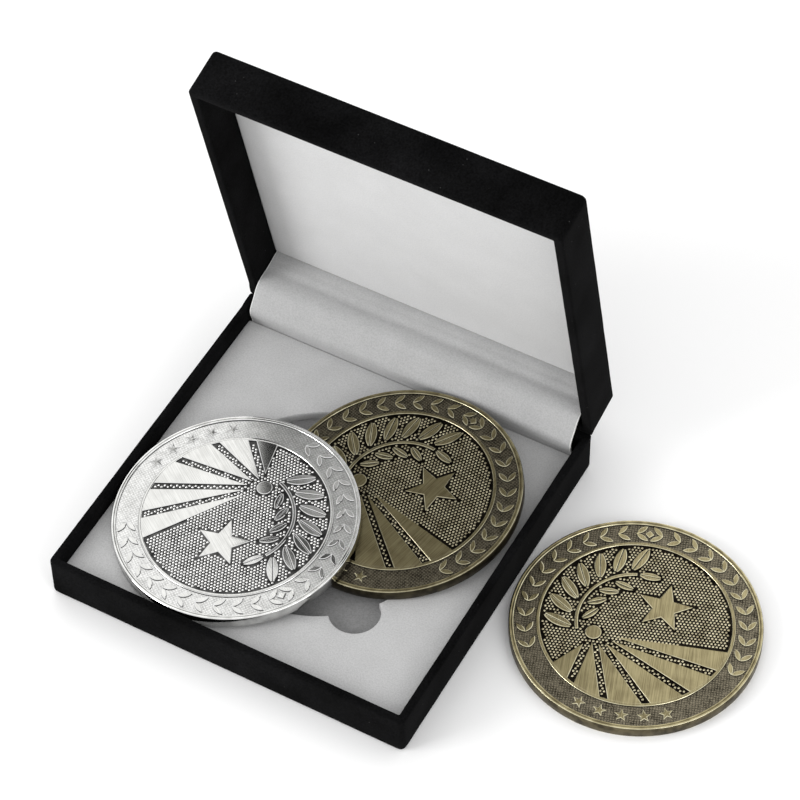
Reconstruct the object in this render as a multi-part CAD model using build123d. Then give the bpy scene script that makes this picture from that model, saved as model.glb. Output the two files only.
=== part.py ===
from build123d import *

import math
import os

# A hinged, velvet-covered presentation case with three struck challenge coins.
# Millimetres, +Z up. X runs along the hinge, +Y is the hinge side, and Z 0 is the table.
# The case stands open. The lid is drawn closed and then swung open by LID_REST_ANGLE.

# Case, outside
CASE_WIDTH = 101.6
CASE_DEPTH = 100.4
BASE_HEIGHT = 12.9
LID_HEIGHT = 13.0
CORNER_RADIUS = 2.5
EDGE_RADIUS = 1.4
RIM_RADIUS = 0.45
LID_REST_ANGLE = 77.4

# Covered shells
VELVET_THICKNESS = 0.5
BASE_SHELL_WALL = 1.25
BASE_SHELL_FLOOR = 1.2
LID_SHELL_WALL = 1.7
LID_SHELL_TOP = 1.0
TURN_IN = 9.0
SHEET_GAP = 0.2
BASE_LINING_END = 3.7
LID_LINING_REACH = 10.9

# Insert of the base, from the shell floor up
INSERT_GAP = 0.1
INSERT_BOARD_THICKNESS = 1.5
FOAM_LOWER_THICKNESS = 2.6
VELOUR_THICKNESS = 0.5
RECESS_DEPTH = 2.4
HINGE_SPACE = 2.95
COIN_RECESS_GAP = 0.35
NOTCH_RADIUS = 6.6
NOTCH_ANGLE = -45.0
VELOUR_EDGE_RADIUS = 0.3

# Lining of the lid
LID_BOARD_THICKNESS = 0.5
LID_VELOUR_THICKNESS = 0.4
LID_LINING_GAP = 0.1
LID_HINGE_SPACE = 4.7

# Velour strip over the hinge
STRIP_THICKNESS = 0.5
STRIP_SIDE_GAP = 0.5
STRIP_TUCK = 5.2
STRIP_ROOT_GAP = 0.1
STRIP_BULGE = 0.75
STRIP_END_GAP = 0.35

# Hinges
HINGE_SPREAD = 60.0
KNUCKLE_RADIUS = 1.1
PIN_RADIUS = 0.45
PIN_RUNNING_GAP = 0.04
PIN_HEAD_RADIUS = 0.8
PIN_HEAD_THICKNESS = 0.4
BASE_KNUCKLE_LENGTH = 5.0
LID_KNUCKLE_LENGTH = 5.6
KNUCKLE_GAP = 0.2
LEAF_THICKNESS = 0.5
LEAF_HEIGHT = 7.2
LEAF_WALL_GAP = 0.05
SLOT_GAP = 0.3
SLOT_FLOOR_GAP = 0.08
RIVET_RADIUS = 0.8
RIVET_HEAD_RADIUS = 1.5
RIVET_HEAD_THICKNESS = 0.5
RIVET_SPREAD = 9.0
RIVET_DROP = 4.2

# Coins
COIN_DIAMETER = 63.5
COIN_THICKNESS = 3.2
COIN_EDGE_CHAMFER = 0.2
RIM_WIDTH = 1.3
BAND_WIDTH = 5.55
RING_WIDTH = 0.95
RELIEF_DEPTH = 0.35
RELIEF_BELOW_RIM = 0.05
COIN_CONTACT_GAP = 0.03
BRONZE_SIDE_GAP = 0.8
BRONZE_BACK_GAP = 1.45
SILVER_CORNER_GAP = 0.45
TABLE_COIN_GAP = 1.45
TABLE_COIN_Y = 9.6
BRONZE_TURN = -15.0
SILVER_TURN = -125.0
TABLE_TURN = 19.0

# Levels and lines that follow from the sizes above
COIN_RADIUS = COIN_DIAMETER / 2
BASE_WALL = BASE_SHELL_WALL + 2 * VELVET_THICKNESS
LID_WALL = LID_SHELL_WALL + 2 * VELVET_THICKNESS
SHELL_FLOOR_TOP = VELVET_THICKNESS + BASE_SHELL_FLOOR
BOARD_TOP = SHELL_FLOOR_TOP + INSERT_BOARD_THICKNESS
FOAM_LOWER_TOP = BOARD_TOP + FOAM_LOWER_THICKNESS
RECESS_FLOOR = FOAM_LOWER_TOP + VELOUR_THICKNESS
INSERT_TOP = RECESS_FLOOR + RECESS_DEPTH
LID_TOP = BASE_HEIGHT + LID_HEIGHT
LID_SHELL_UNDERSIDE = LID_TOP - VELVET_THICKNESS - LID_SHELL_TOP
BACK = CASE_DEPTH / 2
BASE_BACK_INNER = BACK - BASE_WALL
LID_BACK_INNER = BACK - LID_WALL
INSERT_FRONT = -BACK + BASE_WALL + INSERT_GAP
INSERT_BACK = BASE_BACK_INNER - HINGE_SPACE
INSERT_WIDTH = CASE_WIDTH - 2 * (BASE_WALL + INSERT_GAP)
RECESS_CENTRE = (0.0, (INSERT_FRONT + INSERT_BACK) / 2)
RECESS_RADIUS = COIN_RADIUS + COIN_RECESS_GAP
LINING_FRONT = -BACK + LID_WALL + LID_LINING_GAP
LINING_BACK = LID_BACK_INNER - LID_HINGE_SPACE
LINING_WIDTH = CASE_WIDTH - 2 * (LID_WALL + LID_LINING_GAP)
LINING_LEVEL = LID_SHELL_UNDERSIDE - LID_BOARD_THICKNESS - LID_VELOUR_THICKNESS
HINGE_WIDTH = 2 * BASE_KNUCKLE_LENGTH + LID_KNUCKLE_LENGTH + 2 * KNUCKLE_GAP
HINGE_AXIS = Axis((0, BACK, BASE_HEIGHT), (1, 0, 0))
BRONZE_PLACE = (INSERT_WIDTH / 2 - BRONZE_SIDE_GAP - COIN_RADIUS,
                INSERT_BACK - BRONZE_BACK_GAP - COIN_RADIUS)
SILVER_PLACE = (-INSERT_WIDTH / 2 + SILVER_CORNER_GAP + COIN_RADIUS,
                INSERT_FRONT + SILVER_CORNER_GAP + COIN_RADIUS)
TABLE_PLACE = (CASE_WIDTH / 2 + TABLE_COIN_GAP + COIN_RADIUS, TABLE_COIN_Y)


def opened(piece):
    """A piece of the lid, swung from closed to where it stands."""
    return piece.rotate(HINGE_AXIS, -LID_REST_ANGLE)


def slab(inset, low, high, radius=CORNER_RADIUS):
    """A plate with the case's rounded outline, drawn in by inset on every side."""
    width = CASE_WIDTH - 2 * inset
    depth = CASE_DEPTH - 2 * inset
    outline = RectangleRounded(width, depth, max(radius - inset, 0.4))
    return Pos(0, 0, low) * extrude(outline, high - low)


def plate(width, front, back, low, high, radius=0.6):
    """A plate with small corner radii, between two lines across the case."""
    outline = RectangleRounded(width, back - front, radius)
    return Pos(0, (front + back) / 2, low) * extrude(outline, high - low)


def block(x_span, y_span, z_span):
    """A plain block between three pairs of limits."""
    size = [high - low for low, high in (x_span, y_span, z_span)]
    middle = [(high + low) / 2 for low, high in (x_span, y_span, z_span)]
    return Pos(*middle) * Box(*size)


def drum(radius, low, high, centre=(0.0, 0.0)):
    """An upright cylinder between two levels."""
    return Pos(centre[0], centre[1], low) * extrude(Circle(radius), high - low)


def bar_x(radius, left, right, y, z):
    """A round bar along the hinge direction."""
    return Pos((left + right) / 2, y, z) * Rot(0, 90, 0) * Cylinder(radius, right - left)


def bar_y(radius, front, back, x, z):
    """A round bar across the hinge direction."""
    return Pos(x, (front + back) / 2, z) * Rot(90, 0, 0) * Cylinder(radius, back - front)


# ---------------------------------------------------------------- hinge hardware
def hinge_centres():
    return (-HINGE_SPREAD / 2, HINGE_SPREAD / 2)


def rivet_places(level):
    """(x, z) of every rivet of one half of the case."""
    places = []
    for centre in hinge_centres():
        for side in (-1, 1):
            places.append((centre + side * RIVET_SPREAD / 2, level))
    return places


BASE_RIVETS = rivet_places(BASE_HEIGHT - RIVET_DROP)
LID_RIVETS = rivet_places(BASE_HEIGHT + RIVET_DROP)


def hinge_slots(half, wall):
    """The cuts in a back wall that the knuckles and leaf tabs pass through."""
    reach = KNUCKLE_RADIUS + SLOT_FLOOR_GAP
    low = BASE_HEIGHT - reach if half == "base" else BASE_HEIGHT - 1.0
    high = BASE_HEIGHT + 1.0 if half == "base" else BASE_HEIGHT + reach
    slots = []
    for centre in hinge_centres():
        x_span = (centre - HINGE_WIDTH / 2 - SLOT_GAP, centre + HINGE_WIDTH / 2 + SLOT_GAP)
        slots.append(block(x_span, (BACK - wall - 0.5, BACK + 1.0), (low, high)))
    return slots


def rivet_holes(places, wall):
    radius = RIVET_RADIUS + 0.01
    return [bar_y(radius, BACK - wall - 1.0, BACK - VELVET_THICKNESS, x, z) for x, z in places]


def rivets(places, wall):
    """One half's rivets, from a head on the leaf to the shell's outer face."""
    head_back = BACK - wall - LEAF_WALL_GAP - LEAF_THICKNESS
    pieces = []
    for x, z in places:
        shank = bar_y(RIVET_RADIUS, head_back - 0.1, BACK - VELVET_THICKNESS, x, z)
        head = bar_y(RIVET_HEAD_RADIUS, head_back - RIVET_HEAD_THICKNESS, head_back, x, z)
        inner = head.faces().sort_by(Axis.Y)[0]
        pieces.append(shank + fillet(inner.edges(), RIVET_HEAD_THICKNESS * 0.6))
    return Part() + pieces


def leaf(centre, half, wall):
    """A stamped leaf: a riveted plate, a tab over the rim, and rolled knuckles."""
    side = -1 if half == "base" else 1
    plate_back = BACK - wall - LEAF_WALL_GAP
    plate_front = plate_back - LEAF_THICKNESS
    tab_outer = BASE_HEIGHT + side * KNUCKLE_RADIUS
    tab_inner = tab_outer - side * LEAF_THICKNESS
    half_width = HINGE_WIDTH / 2
    x_span = (centre - half_width, centre + half_width)
    tip = tab_outer + side * LEAF_HEIGHT
    body = block(x_span, (plate_front, plate_back), sorted((tab_inner, tip)))
    mid = LID_KNUCKLE_LENGTH / 2
    if half == "base":
        spans = [(-half_width, -mid - KNUCKLE_GAP), (mid + KNUCKLE_GAP, half_width)]
    else:
        spans = [(-mid, mid)]
    bore = PIN_RADIUS + (PIN_RUNNING_GAP if half == "lid" else 0.0)
    for left, right in spans:
        x_knuckle = (centre + left, centre + right)
        body += block(x_knuckle, (plate_front, BACK), sorted((tab_inner, tab_outer)))
        body += bar_x(KNUCKLE_RADIUS, *x_knuckle, BACK, BASE_HEIGHT)
    body -= bar_x(bore, x_span[0] - 1, x_span[1] + 1, BACK, BASE_HEIGHT)
    places = BASE_RIVETS if half == "base" else LID_RIVETS
    for x, z in places:
        if abs(x - centre) < half_width:
            body -= bar_y(RIVET_RADIUS + 0.01, plate_front - 1, plate_back + 1, x, z)
    return body


def hinge_pin(centre):
    """The pin, held in the base's knuckles, with a low head at each end."""
    half_width = HINGE_WIDTH / 2
    pin = bar_x(PIN_RADIUS, centre - half_width, centre + half_width, BACK, BASE_HEIGHT)
    for side in (-1, 1):
        inner = centre + side * half_width
        outer = inner + side * (SLOT_GAP - 0.05)
        left, right = sorted((inner, outer))
        pin += bar_x(PIN_HEAD_RADIUS, left, right, BACK, BASE_HEIGHT)
    return pin


# ---------------------------------------------------------------- base
def base_shell():
    """The moulded tray under the velvet."""
    tray = slab(VELVET_THICKNESS, VELVET_THICKNESS, BASE_HEIGHT - VELVET_THICKNESS)
    cavity_inset = VELVET_THICKNESS + BASE_SHELL_WALL
    tray -= slab(cavity_inset, SHELL_FLOOR_TOP, BASE_HEIGHT + 1)
    for cut in hinge_slots("base", BASE_WALL) + rivet_holes(BASE_RIVETS, BASE_WALL):
        tray -= cut
    return tray


def base_velvet():
    """The velvet: over the outside, the rim and the inner walls, and turned in below."""
    cover = slab(0, 0, BASE_HEIGHT)
    lower = cover.faces().sort_by(Axis.Z)[0]
    cover = fillet(lower.edges(), min(EDGE_RADIUS, CORNER_RADIUS * 0.8))
    upper = cover.faces().sort_by(Axis.Z)[-1]
    cover = fillet(upper.edges(), RIM_RADIUS)
    cover -= slab(VELVET_THICKNESS, VELVET_THICKNESS, BASE_HEIGHT - VELVET_THICKNESS)
    cover -= slab(BASE_WALL, BASE_HEIGHT - 1, BASE_HEIGHT + 1)
    cover -= slab(TURN_IN, -1, VELVET_THICKNESS + 1)
    lining = slab(BASE_WALL - VELVET_THICKNESS, BASE_LINING_END, BASE_HEIGHT - VELVET_THICKNESS)
    lining -= slab(BASE_WALL, 0, BASE_HEIGHT)
    cover += lining
    for cut in hinge_slots("base", BASE_WALL) + rivet_holes(BASE_RIVETS, BASE_WALL):
        cover -= cut
    return cover


def base_sheet():
    """The paper sheet that closes the bottom inside the turned-in velvet."""
    return slab(TURN_IN + SHEET_GAP, 0, VELVET_THICKNESS)


def recess_outline(extra):
    """The die-cut coin recess and its thumb notch, grown by extra."""
    turn = math.radians(NOTCH_ANGLE)
    x = RECESS_CENTRE[0] + RECESS_RADIUS * math.cos(turn)
    y = RECESS_CENTRE[1] + RECESS_RADIUS * math.sin(turn)
    outline = Pos(*RECESS_CENTRE) * Circle(RECESS_RADIUS + extra)
    return outline + Pos(x, y) * Circle(NOTCH_RADIUS + extra)


def insert_plate(low, high, inset=0.0):
    width = INSERT_WIDTH - 2 * inset
    return plate(width, INSERT_FRONT + inset, INSERT_BACK - inset, low, high)


def insert_foam_upper():
    foam = insert_plate(RECESS_FLOOR, INSERT_TOP - VELOUR_THICKNESS, VELOUR_THICKNESS)
    return foam - Pos(0, 0, RECESS_FLOOR - 1) * extrude(recess_outline(VELOUR_THICKNESS), 9)


def insert_velour():
    """Velour over the die-cut foam, down its edges and down the recess wall."""
    skin = insert_plate(RECESS_FLOOR, INSERT_TOP)
    top = skin.faces().sort_by(Axis.Z)[-1]
    skin = fillet(top.edges(), VELOUR_EDGE_RADIUS)
    hole = Pos(0, 0, RECESS_FLOOR - 1) * extrude(recess_outline(0), 9)
    skin -= hole
    skin -= insert_foam_upper()
    return skin


# ---------------------------------------------------------------- lid
def lid_shell():
    tray = slab(VELVET_THICKNESS, BASE_HEIGHT + VELVET_THICKNESS, LID_TOP - VELVET_THICKNESS)
    cavity_inset = VELVET_THICKNESS + LID_SHELL_WALL
    tray -= slab(cavity_inset, BASE_HEIGHT - 1, LID_SHELL_UNDERSIDE)
    for cut in hinge_slots("lid", LID_WALL) + rivet_holes(LID_RIVETS, LID_WALL):
        tray -= cut
    return tray


def lid_velvet():
    """The velvet over the lid's top, sides, rim and inner walls."""
    cover = slab(0, BASE_HEIGHT, LID_TOP)
    upper = cover.faces().sort_by(Axis.Z)[-1]
    cover = fillet(upper.edges(), min(EDGE_RADIUS, CORNER_RADIUS * 0.8))
    lower = cover.faces().sort_by(Axis.Z)[0]
    cover = fillet(lower.edges(), RIM_RADIUS)
    cover -= slab(VELVET_THICKNESS, BASE_HEIGHT + VELVET_THICKNESS, LID_TOP - VELVET_THICKNESS)
    cover -= slab(LID_WALL, BASE_HEIGHT - 1, BASE_HEIGHT + 1)
    lining = slab(LID_WALL - VELVET_THICKNESS, BASE_HEIGHT + VELVET_THICKNESS,
                  BASE_HEIGHT + LID_LINING_REACH)
    lining -= slab(LID_WALL, BASE_HEIGHT, LID_TOP)
    cover += lining
    for cut in hinge_slots("lid", LID_WALL) + rivet_holes(LID_RIVETS, LID_WALL):
        cover -= cut
    return cover


def lid_board():
    inset = LID_VELOUR_THICKNESS
    width = LINING_WIDTH - 2 * inset
    low = LID_SHELL_UNDERSIDE - LID_BOARD_THICKNESS
    return plate(width, LINING_FRONT + inset, LINING_BACK - inset, low, LID_SHELL_UNDERSIDE)


def lid_velour():
    """Velour over the card board, turned around its four edges."""
    skin = plate(LINING_WIDTH, LINING_FRONT, LINING_BACK, LINING_LEVEL, LID_SHELL_UNDERSIDE)
    face = skin.faces().sort_by(Axis.Z)[0]
    return fillet(face.edges(), VELOUR_EDGE_RADIUS) - lid_board()


# ---------------------------------------------------------------- hinge strip
def in_lid(along, deep):
    """(y, z) where the open lid stands of a point along it from the hinge, and deep into it."""
    turn = math.radians(LID_REST_ANGLE)
    y = BACK - along * math.cos(turn) + deep * math.sin(turn)
    z = BASE_HEIGHT + along * math.sin(turn) + deep * math.cos(turn)
    return (y, z)


def hinge_strip():
    """The velour strip from the insert's back edge over the hinge to the lid's lining."""
    half = STRIP_THICKNESS / 2
    root = INSERT_BACK + half + STRIP_ROOT_GAP
    foot = INSERT_TOP - STRIP_TUCK
    along = BACK - LINING_BACK - STRIP_END_GAP
    depth = LINING_LEVEL - BASE_HEIGHT
    crest = BASE_HEIGHT + 0.2
    path = [
        (root, INSERT_TOP),
        (root - STRIP_BULGE, (INSERT_TOP + crest) / 2 + 0.6),
        (root - STRIP_BULGE, crest + 0.8),
        (root + 1.1, crest + 3.4),
        in_lid(along - 0.2, 0.3),
        in_lid(along, depth * 0.5),
        in_lid(along, depth - 0.4),
    ]
    turn = math.radians(LID_REST_ANGLE)
    ways = [(0, 0, 1), (0, math.sin(turn), math.cos(turn))]
    line = Spline(*[(0, y, z) for y, z in path], tangents=ways)
    sides = ([], [])
    steps = 28
    for step in range(steps + 1):
        at = line @ (step / steps)
        way = line % (step / steps)
        normal = Vector(0, -way.Z, way.Y)
        for side, sign in zip(sides, (-1, 1)):
            side.append(at + normal * (sign * half))
    feet = [Vector(0, side[0].Y, foot) for side in sides]
    edges = [Spline(*side) for side in sides]
    edges += [Line(low, side[0]) for low, side in zip(feet, sides)]
    edges += [Line(*feet), Line(sides[0][-1], sides[1][-1])]
    section = make_face(edges)
    width = CASE_WIDTH - 2 * (max(BASE_WALL, LID_WALL) + STRIP_SIDE_GAP)
    return Pos(-width / 2, 0, 0) * extrude(section, width, dir=(1, 0, 0))


# ---------------------------------------------------------------- coins
FIELD_RADIUS = COIN_RADIUS - RIM_WIDTH - BAND_WIDTH - RING_WIDTH
BAND_OUTER = COIN_RADIUS - RIM_WIDTH
BAND_MIDDLE = BAND_OUTER - BAND_WIDTH / 2


def polar(radius, degrees):
    turn = math.radians(degrees)
    return (radius * math.cos(turn), radius * math.sin(turn))


def leaf_shape(length, width, bend=0.0):
    """A pointed leaf from the origin along +X, bowed sideways by bend."""
    tip = (length, bend)
    low = ThreePointArc((0, 0), (length * 0.45, bend * 0.45 - width / 2), tip)
    high = ThreePointArc(tip, (length * 0.55, bend * 0.55 + width / 2), (0, 0))
    return make_face([low, high])


def star_shape(radius, ratio=0.42):
    points = [polar(radius if k % 2 == 0 else radius * ratio, 90 + 36 * k) for k in range(10)]
    return make_face(Polyline(*points, close=True))


def band_ornament():
    """A running laurel border in the outer band, and five stars at its foot."""
    shapes = []
    length = BAND_WIDTH * 0.66
    for side in (-1, 1):
        for k in range(12):
            angle = 90 + side * (7 + 9.8 * k)
            for lean in (-1, 1):
                base = Pos(*polar(BAND_MIDDLE, angle)) * Rot(0, 0, angle - side * 90)
                shapes.append(base * Rot(0, 0, lean * 38) * leaf_shape(length, length * 0.36))
    for k in range(-2, 3):
        angle = 270 + 11.5 * k
        place = Pos(*polar(BAND_MIDDLE, angle)) * Rot(0, 0, angle - 270)
        shapes.append(place * star_shape(BAND_WIDTH * 0.34))
    shapes.append(Pos(*polar(BAND_MIDDLE, 90)) * Rectangle(1.6, 1.6, rotation=45))
    return shapes


def sunrise():
    """Tapered rays that widen from a low sun to the inner ring."""
    shapes = []
    root = polar(FIELD_RADIUS * 0.46, 204)
    edge = FIELD_RADIUS + RING_WIDTH * 0.5
    limits = [(219, 233), (238, 256), (261, 281), (286, 306), (311, 328), (333, 348)]
    for k, (first, last) in enumerate(limits):
        middle = math.radians((first + last) / 2)
        target = (edge * math.cos(middle), edge * math.sin(middle))
        start = 0.17 if k else 0.3
        tip = tuple(r + (t - r) * start for r, t in zip(root, target))
        outer = ThreePointArc(polar(edge, first), polar(edge, (first + last) / 2), polar(edge, last))
        back = Line(polar(edge, last), tip)
        there = Line(tip, polar(edge, first))
        shapes.append(make_face([outer, back, there]))
    sun = Pos(*root) * Circle(FIELD_RADIUS * 0.085)
    shapes.append(sun)
    return shapes


def laurel_branch():
    """A stem that follows the inner ring on the left, with leaves on both its sides."""
    outside, inside = (
        [polar(FIELD_RADIUS * share, angle) for angle in (196, 146, 96)] for share in (0.637, 0.603)
    )
    sides = [ThreePointArc(*outside), ThreePointArc(*inside)]
    sides += [Line(outside[0], inside[0]), Line(outside[2], inside[2])]
    shapes = [make_face(sides)]
    sprays = [(7, 194, 15.5, 0.66, -40, 0.36, 1), (4, 184, 21.0, 0.57, -135, 0.24, -1)]
    for count, first, step, root, heading, size, bow in sprays:
        for k in range(count):
            angle = first - step * k
            length = FIELD_RADIUS * size
            place = Pos(*polar(FIELD_RADIUS * root, angle)) * Rot(0, 0, angle + heading)
            shapes.append(place * leaf_shape(length, length * 0.34, bow * length * 0.08))
    tip = Pos(*polar(FIELD_RADIUS * 0.62, 95)) * Rot(0, 0, -4)
    shapes.append(tip * leaf_shape(FIELD_RADIUS * 0.26, FIELD_RADIUS * 0.09))
    return shapes


def obverse():
    star = Pos(*polar(FIELD_RADIUS * 0.36, 42)) * Rot(0, 0, -8) * star_shape(FIELD_RADIUS * 0.30)
    return sunrise() + laurel_branch() + [star]


def reverse():
    shapes = [star_shape(FIELD_RADIUS * 0.62)]
    for k in range(5):
        angle = 126 + 72 * k
        place = Pos(*polar(FIELD_RADIUS * 0.42, angle)) * Rot(0, 0, angle)
        shapes.append(place * leaf_shape(FIELD_RADIUS * 0.44, FIELD_RADIUS * 0.14))
    return shapes


def raised(shapes, low, high):
    """The shapes as one set of raised pads."""
    pads = Sketch() + shapes
    return Pos(0, 0, low) * extrude(pads, high - low)


def face_relief(shapes):
    """What is taken from, and put back on, the upper face of a coin."""
    floor = COIN_THICKNESS - RELIEF_DEPTH
    level = COIN_THICKNESS - RELIEF_BELOW_RIM
    sunk = drum(BAND_OUTER, floor, COIN_THICKNESS + 1)
    ring = drum(FIELD_RADIUS + RING_WIDTH, floor, level) - drum(FIELD_RADIUS, floor - 1, level + 1)
    return sunk, ring + raised(shapes + band_ornament(), floor, level)


def coin():
    """A struck coin: raised rim, laurel band, inner ring and raised devices on both faces."""
    blank = drum(COIN_RADIUS, 0, COIN_THICKNESS)
    outer = blank.edges().filter_by(GeomType.CIRCLE)
    blank = chamfer(outer, COIN_EDGE_CHAMFER)
    flip = Pos(0, 0, COIN_THICKNESS) * Rot(0, 180, 0)
    for shapes, turn in ((obverse(), Pos(0, 0, 0)), (reverse(), flip)):
        sunk, pads = face_relief(shapes)
        blank -= turn * sunk
        blank += turn * pads
    return blank


def tilted_place(centre, toward, tilt, underside):
    """Where a coin lies whose underside centre is at a height, raised toward a direction."""
    axis_turn = math.degrees(toward)
    return (Pos(centre[0], centre[1], underside) * Rot(0, 0, axis_turn)
            * Rot(0, -math.degrees(tilt), 0) * Rot(0, 0, -axis_turn))


def bronze_rest():
    """(direction, tilt, underside height) of the coin that dips into the recess.

    Its low edge stands on the recess floor, and its underside lies on the two points where its
    outline crosses the recess edge.
    """
    dx = BRONZE_PLACE[0] - RECESS_CENTRE[0]
    dy = BRONZE_PLACE[1] - RECESS_CENTRE[1]
    offset = math.hypot(dx, dy)
    crossing = (RECESS_RADIUS ** 2 - COIN_RADIUS ** 2 + offset ** 2) / (2 * offset)
    tilt = 0.0
    for _ in range(40):
        run = crossing - offset + COIN_RADIUS * math.cos(tilt)
        tilt = math.atan2(RECESS_DEPTH, run)
    underside = RECESS_FLOOR + COIN_CONTACT_GAP + COIN_RADIUS * math.sin(tilt)
    return math.atan2(dy, dx), tilt, underside


def silver_rest():
    """(direction, tilt, underside height) of the coin that leans on the other one."""
    toward, tilt, underside = bronze_rest()
    top = underside + COIN_THICKNESS / math.cos(tilt)
    dx = BRONZE_PLACE[0] - SILVER_PLACE[0]
    dy = BRONZE_PLACE[1] - SILVER_PLACE[1]
    facing = math.atan2(dy, dx)
    steepest = 0.0
    for centre, other in ((SILVER_PLACE, BRONZE_PLACE), (BRONZE_PLACE, SILVER_PLACE)):
        for k in range(720):
            x, y = polar(COIN_RADIUS, k / 2)
            x += centre[0]
            y += centre[1]
            if math.dist((x, y), other) > COIN_RADIUS:
                continue
            rise = (x - BRONZE_PLACE[0]) * math.cos(toward) + (y - BRONZE_PLACE[1]) * math.sin(toward)
            height = top + rise * math.tan(tilt) - INSERT_TOP
            run = (x - SILVER_PLACE[0]) * math.cos(facing) + (y - SILVER_PLACE[1]) * math.sin(facing)
            steepest = max(steepest, height / (run + COIN_RADIUS))
    lean = math.atan(steepest)
    return facing, lean, INSERT_TOP + 2 * COIN_CONTACT_GAP + COIN_RADIUS * math.sin(lean)


def placed_coins():
    struck = coin()
    toward, tilt, height = bronze_rest()
    bronze = tilted_place(BRONZE_PLACE, toward, tilt, height) * Rot(0, 0, BRONZE_TURN) * struck
    facing, lean, level = silver_rest()
    silver = tilted_place(SILVER_PLACE, facing, lean, level) * Rot(0, 0, SILVER_TURN) * struck
    table = Pos(TABLE_PLACE[0], TABLE_PLACE[1], 0) * Rot(0, 0, TABLE_TURN) * struck
    return bronze, silver, table


def main():
    os.makedirs("parts", exist_ok=True)
    left, right = hinge_centres()
    bronze, silver, table = placed_coins()
    nodes = {
        "base_shell": base_shell(),
        "base_velvet": base_velvet(),
        "base_sheet": base_sheet(),
        "insert_board": insert_plate(SHELL_FLOOR_TOP, BOARD_TOP),
        "insert_foam_lower": insert_plate(BOARD_TOP, FOAM_LOWER_TOP),
        "recess_velour": insert_plate(FOAM_LOWER_TOP, RECESS_FLOOR),
        "insert_foam_upper": insert_foam_upper(),
        "insert_velour": insert_velour(),
        "hinge_strip": hinge_strip(),
        "lid_shell": opened(lid_shell()),
        "lid_velvet": opened(lid_velvet()),
        "lid_board": opened(lid_board()),
        "lid_velour": opened(lid_velour()),
        "hinge_left_base_leaf": leaf(left, "base", BASE_WALL),
        "hinge_left_lid_leaf": opened(leaf(left, "lid", LID_WALL)),
        "hinge_left_pin": hinge_pin(left),
        "hinge_right_base_leaf": leaf(right, "base", BASE_WALL),
        "hinge_right_lid_leaf": opened(leaf(right, "lid", LID_WALL)),
        "hinge_right_pin": hinge_pin(right),
        "base_rivets": rivets(BASE_RIVETS, BASE_WALL),
        "lid_rivets": opened(rivets(LID_RIVETS, LID_WALL)),
        "coin_silver": silver,
        "coin_bronze": bronze,
        "coin_table": table,
    }
    for name, piece in nodes.items():
        export_step(piece, f"parts/{name}.step")


if __name__ == "__main__":
    main()
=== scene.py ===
"""A hinged presentation case with three struck coins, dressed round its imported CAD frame."""

import logging
import math
from dataclasses import dataclass, replace
from enum import Enum

import bmesh
import bpy
from mathutils import Matrix, Vector, noise
from mathutils.geometry import delaunay_2d_cdt


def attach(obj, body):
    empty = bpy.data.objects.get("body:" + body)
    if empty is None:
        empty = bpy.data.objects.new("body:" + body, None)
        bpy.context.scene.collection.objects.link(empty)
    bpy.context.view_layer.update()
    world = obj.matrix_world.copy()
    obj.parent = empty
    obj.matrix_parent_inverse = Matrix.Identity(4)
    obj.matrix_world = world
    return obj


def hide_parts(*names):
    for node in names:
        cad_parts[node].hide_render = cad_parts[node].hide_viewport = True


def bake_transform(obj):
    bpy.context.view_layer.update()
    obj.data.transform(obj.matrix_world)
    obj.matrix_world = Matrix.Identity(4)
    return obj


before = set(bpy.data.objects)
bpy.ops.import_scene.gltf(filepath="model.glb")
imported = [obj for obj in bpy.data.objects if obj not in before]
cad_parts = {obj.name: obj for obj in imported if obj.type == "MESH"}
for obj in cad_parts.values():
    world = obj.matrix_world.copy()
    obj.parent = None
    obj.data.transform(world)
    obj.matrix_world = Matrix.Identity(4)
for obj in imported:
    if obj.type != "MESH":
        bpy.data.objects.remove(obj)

LOG = logging.getLogger("case")
MM = 0.001
STAR_CORNERS = 10

Flat = tuple[float, float]
Point = tuple[float, float, float]
Material = bpy.types.Material
Object = bpy.types.Object
Socket = bpy.types.NodeSocket


# ---------------------------------------------------------------- small helpers
def linear(code: str, painted_shade_factor: float = 1.0) -> tuple[float, float, float, float]:
    """Turns an sRGB hex value to a linear colour with alpha 1.

    Args:
        code: six hex digits.
        painted_shade_factor: what the linear colour is multiplied by, to darken it with painted shade.

    Returns:
        Red, green, blue and alpha.
    """
    parts = [int(code[i : i + 2], 16) / 255 for i in (0, 2, 4)]
    return (*[painted_shade_factor * (c / 12.92 if c <= 0.04045 else ((c + 0.055) / 1.055) ** 2.4) for c in parts], 1.0)


def per_mm(size: float) -> float:
    """Texture scale for a pattern whose repeat is size millimetres."""
    return 1.0 / (size * MM)


def polar(radius: float, degrees: float) -> Flat:
    """A point at a radius and an angle."""
    turn = math.radians(degrees)
    return (radius * math.cos(turn), radius * math.sin(turn))


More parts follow.
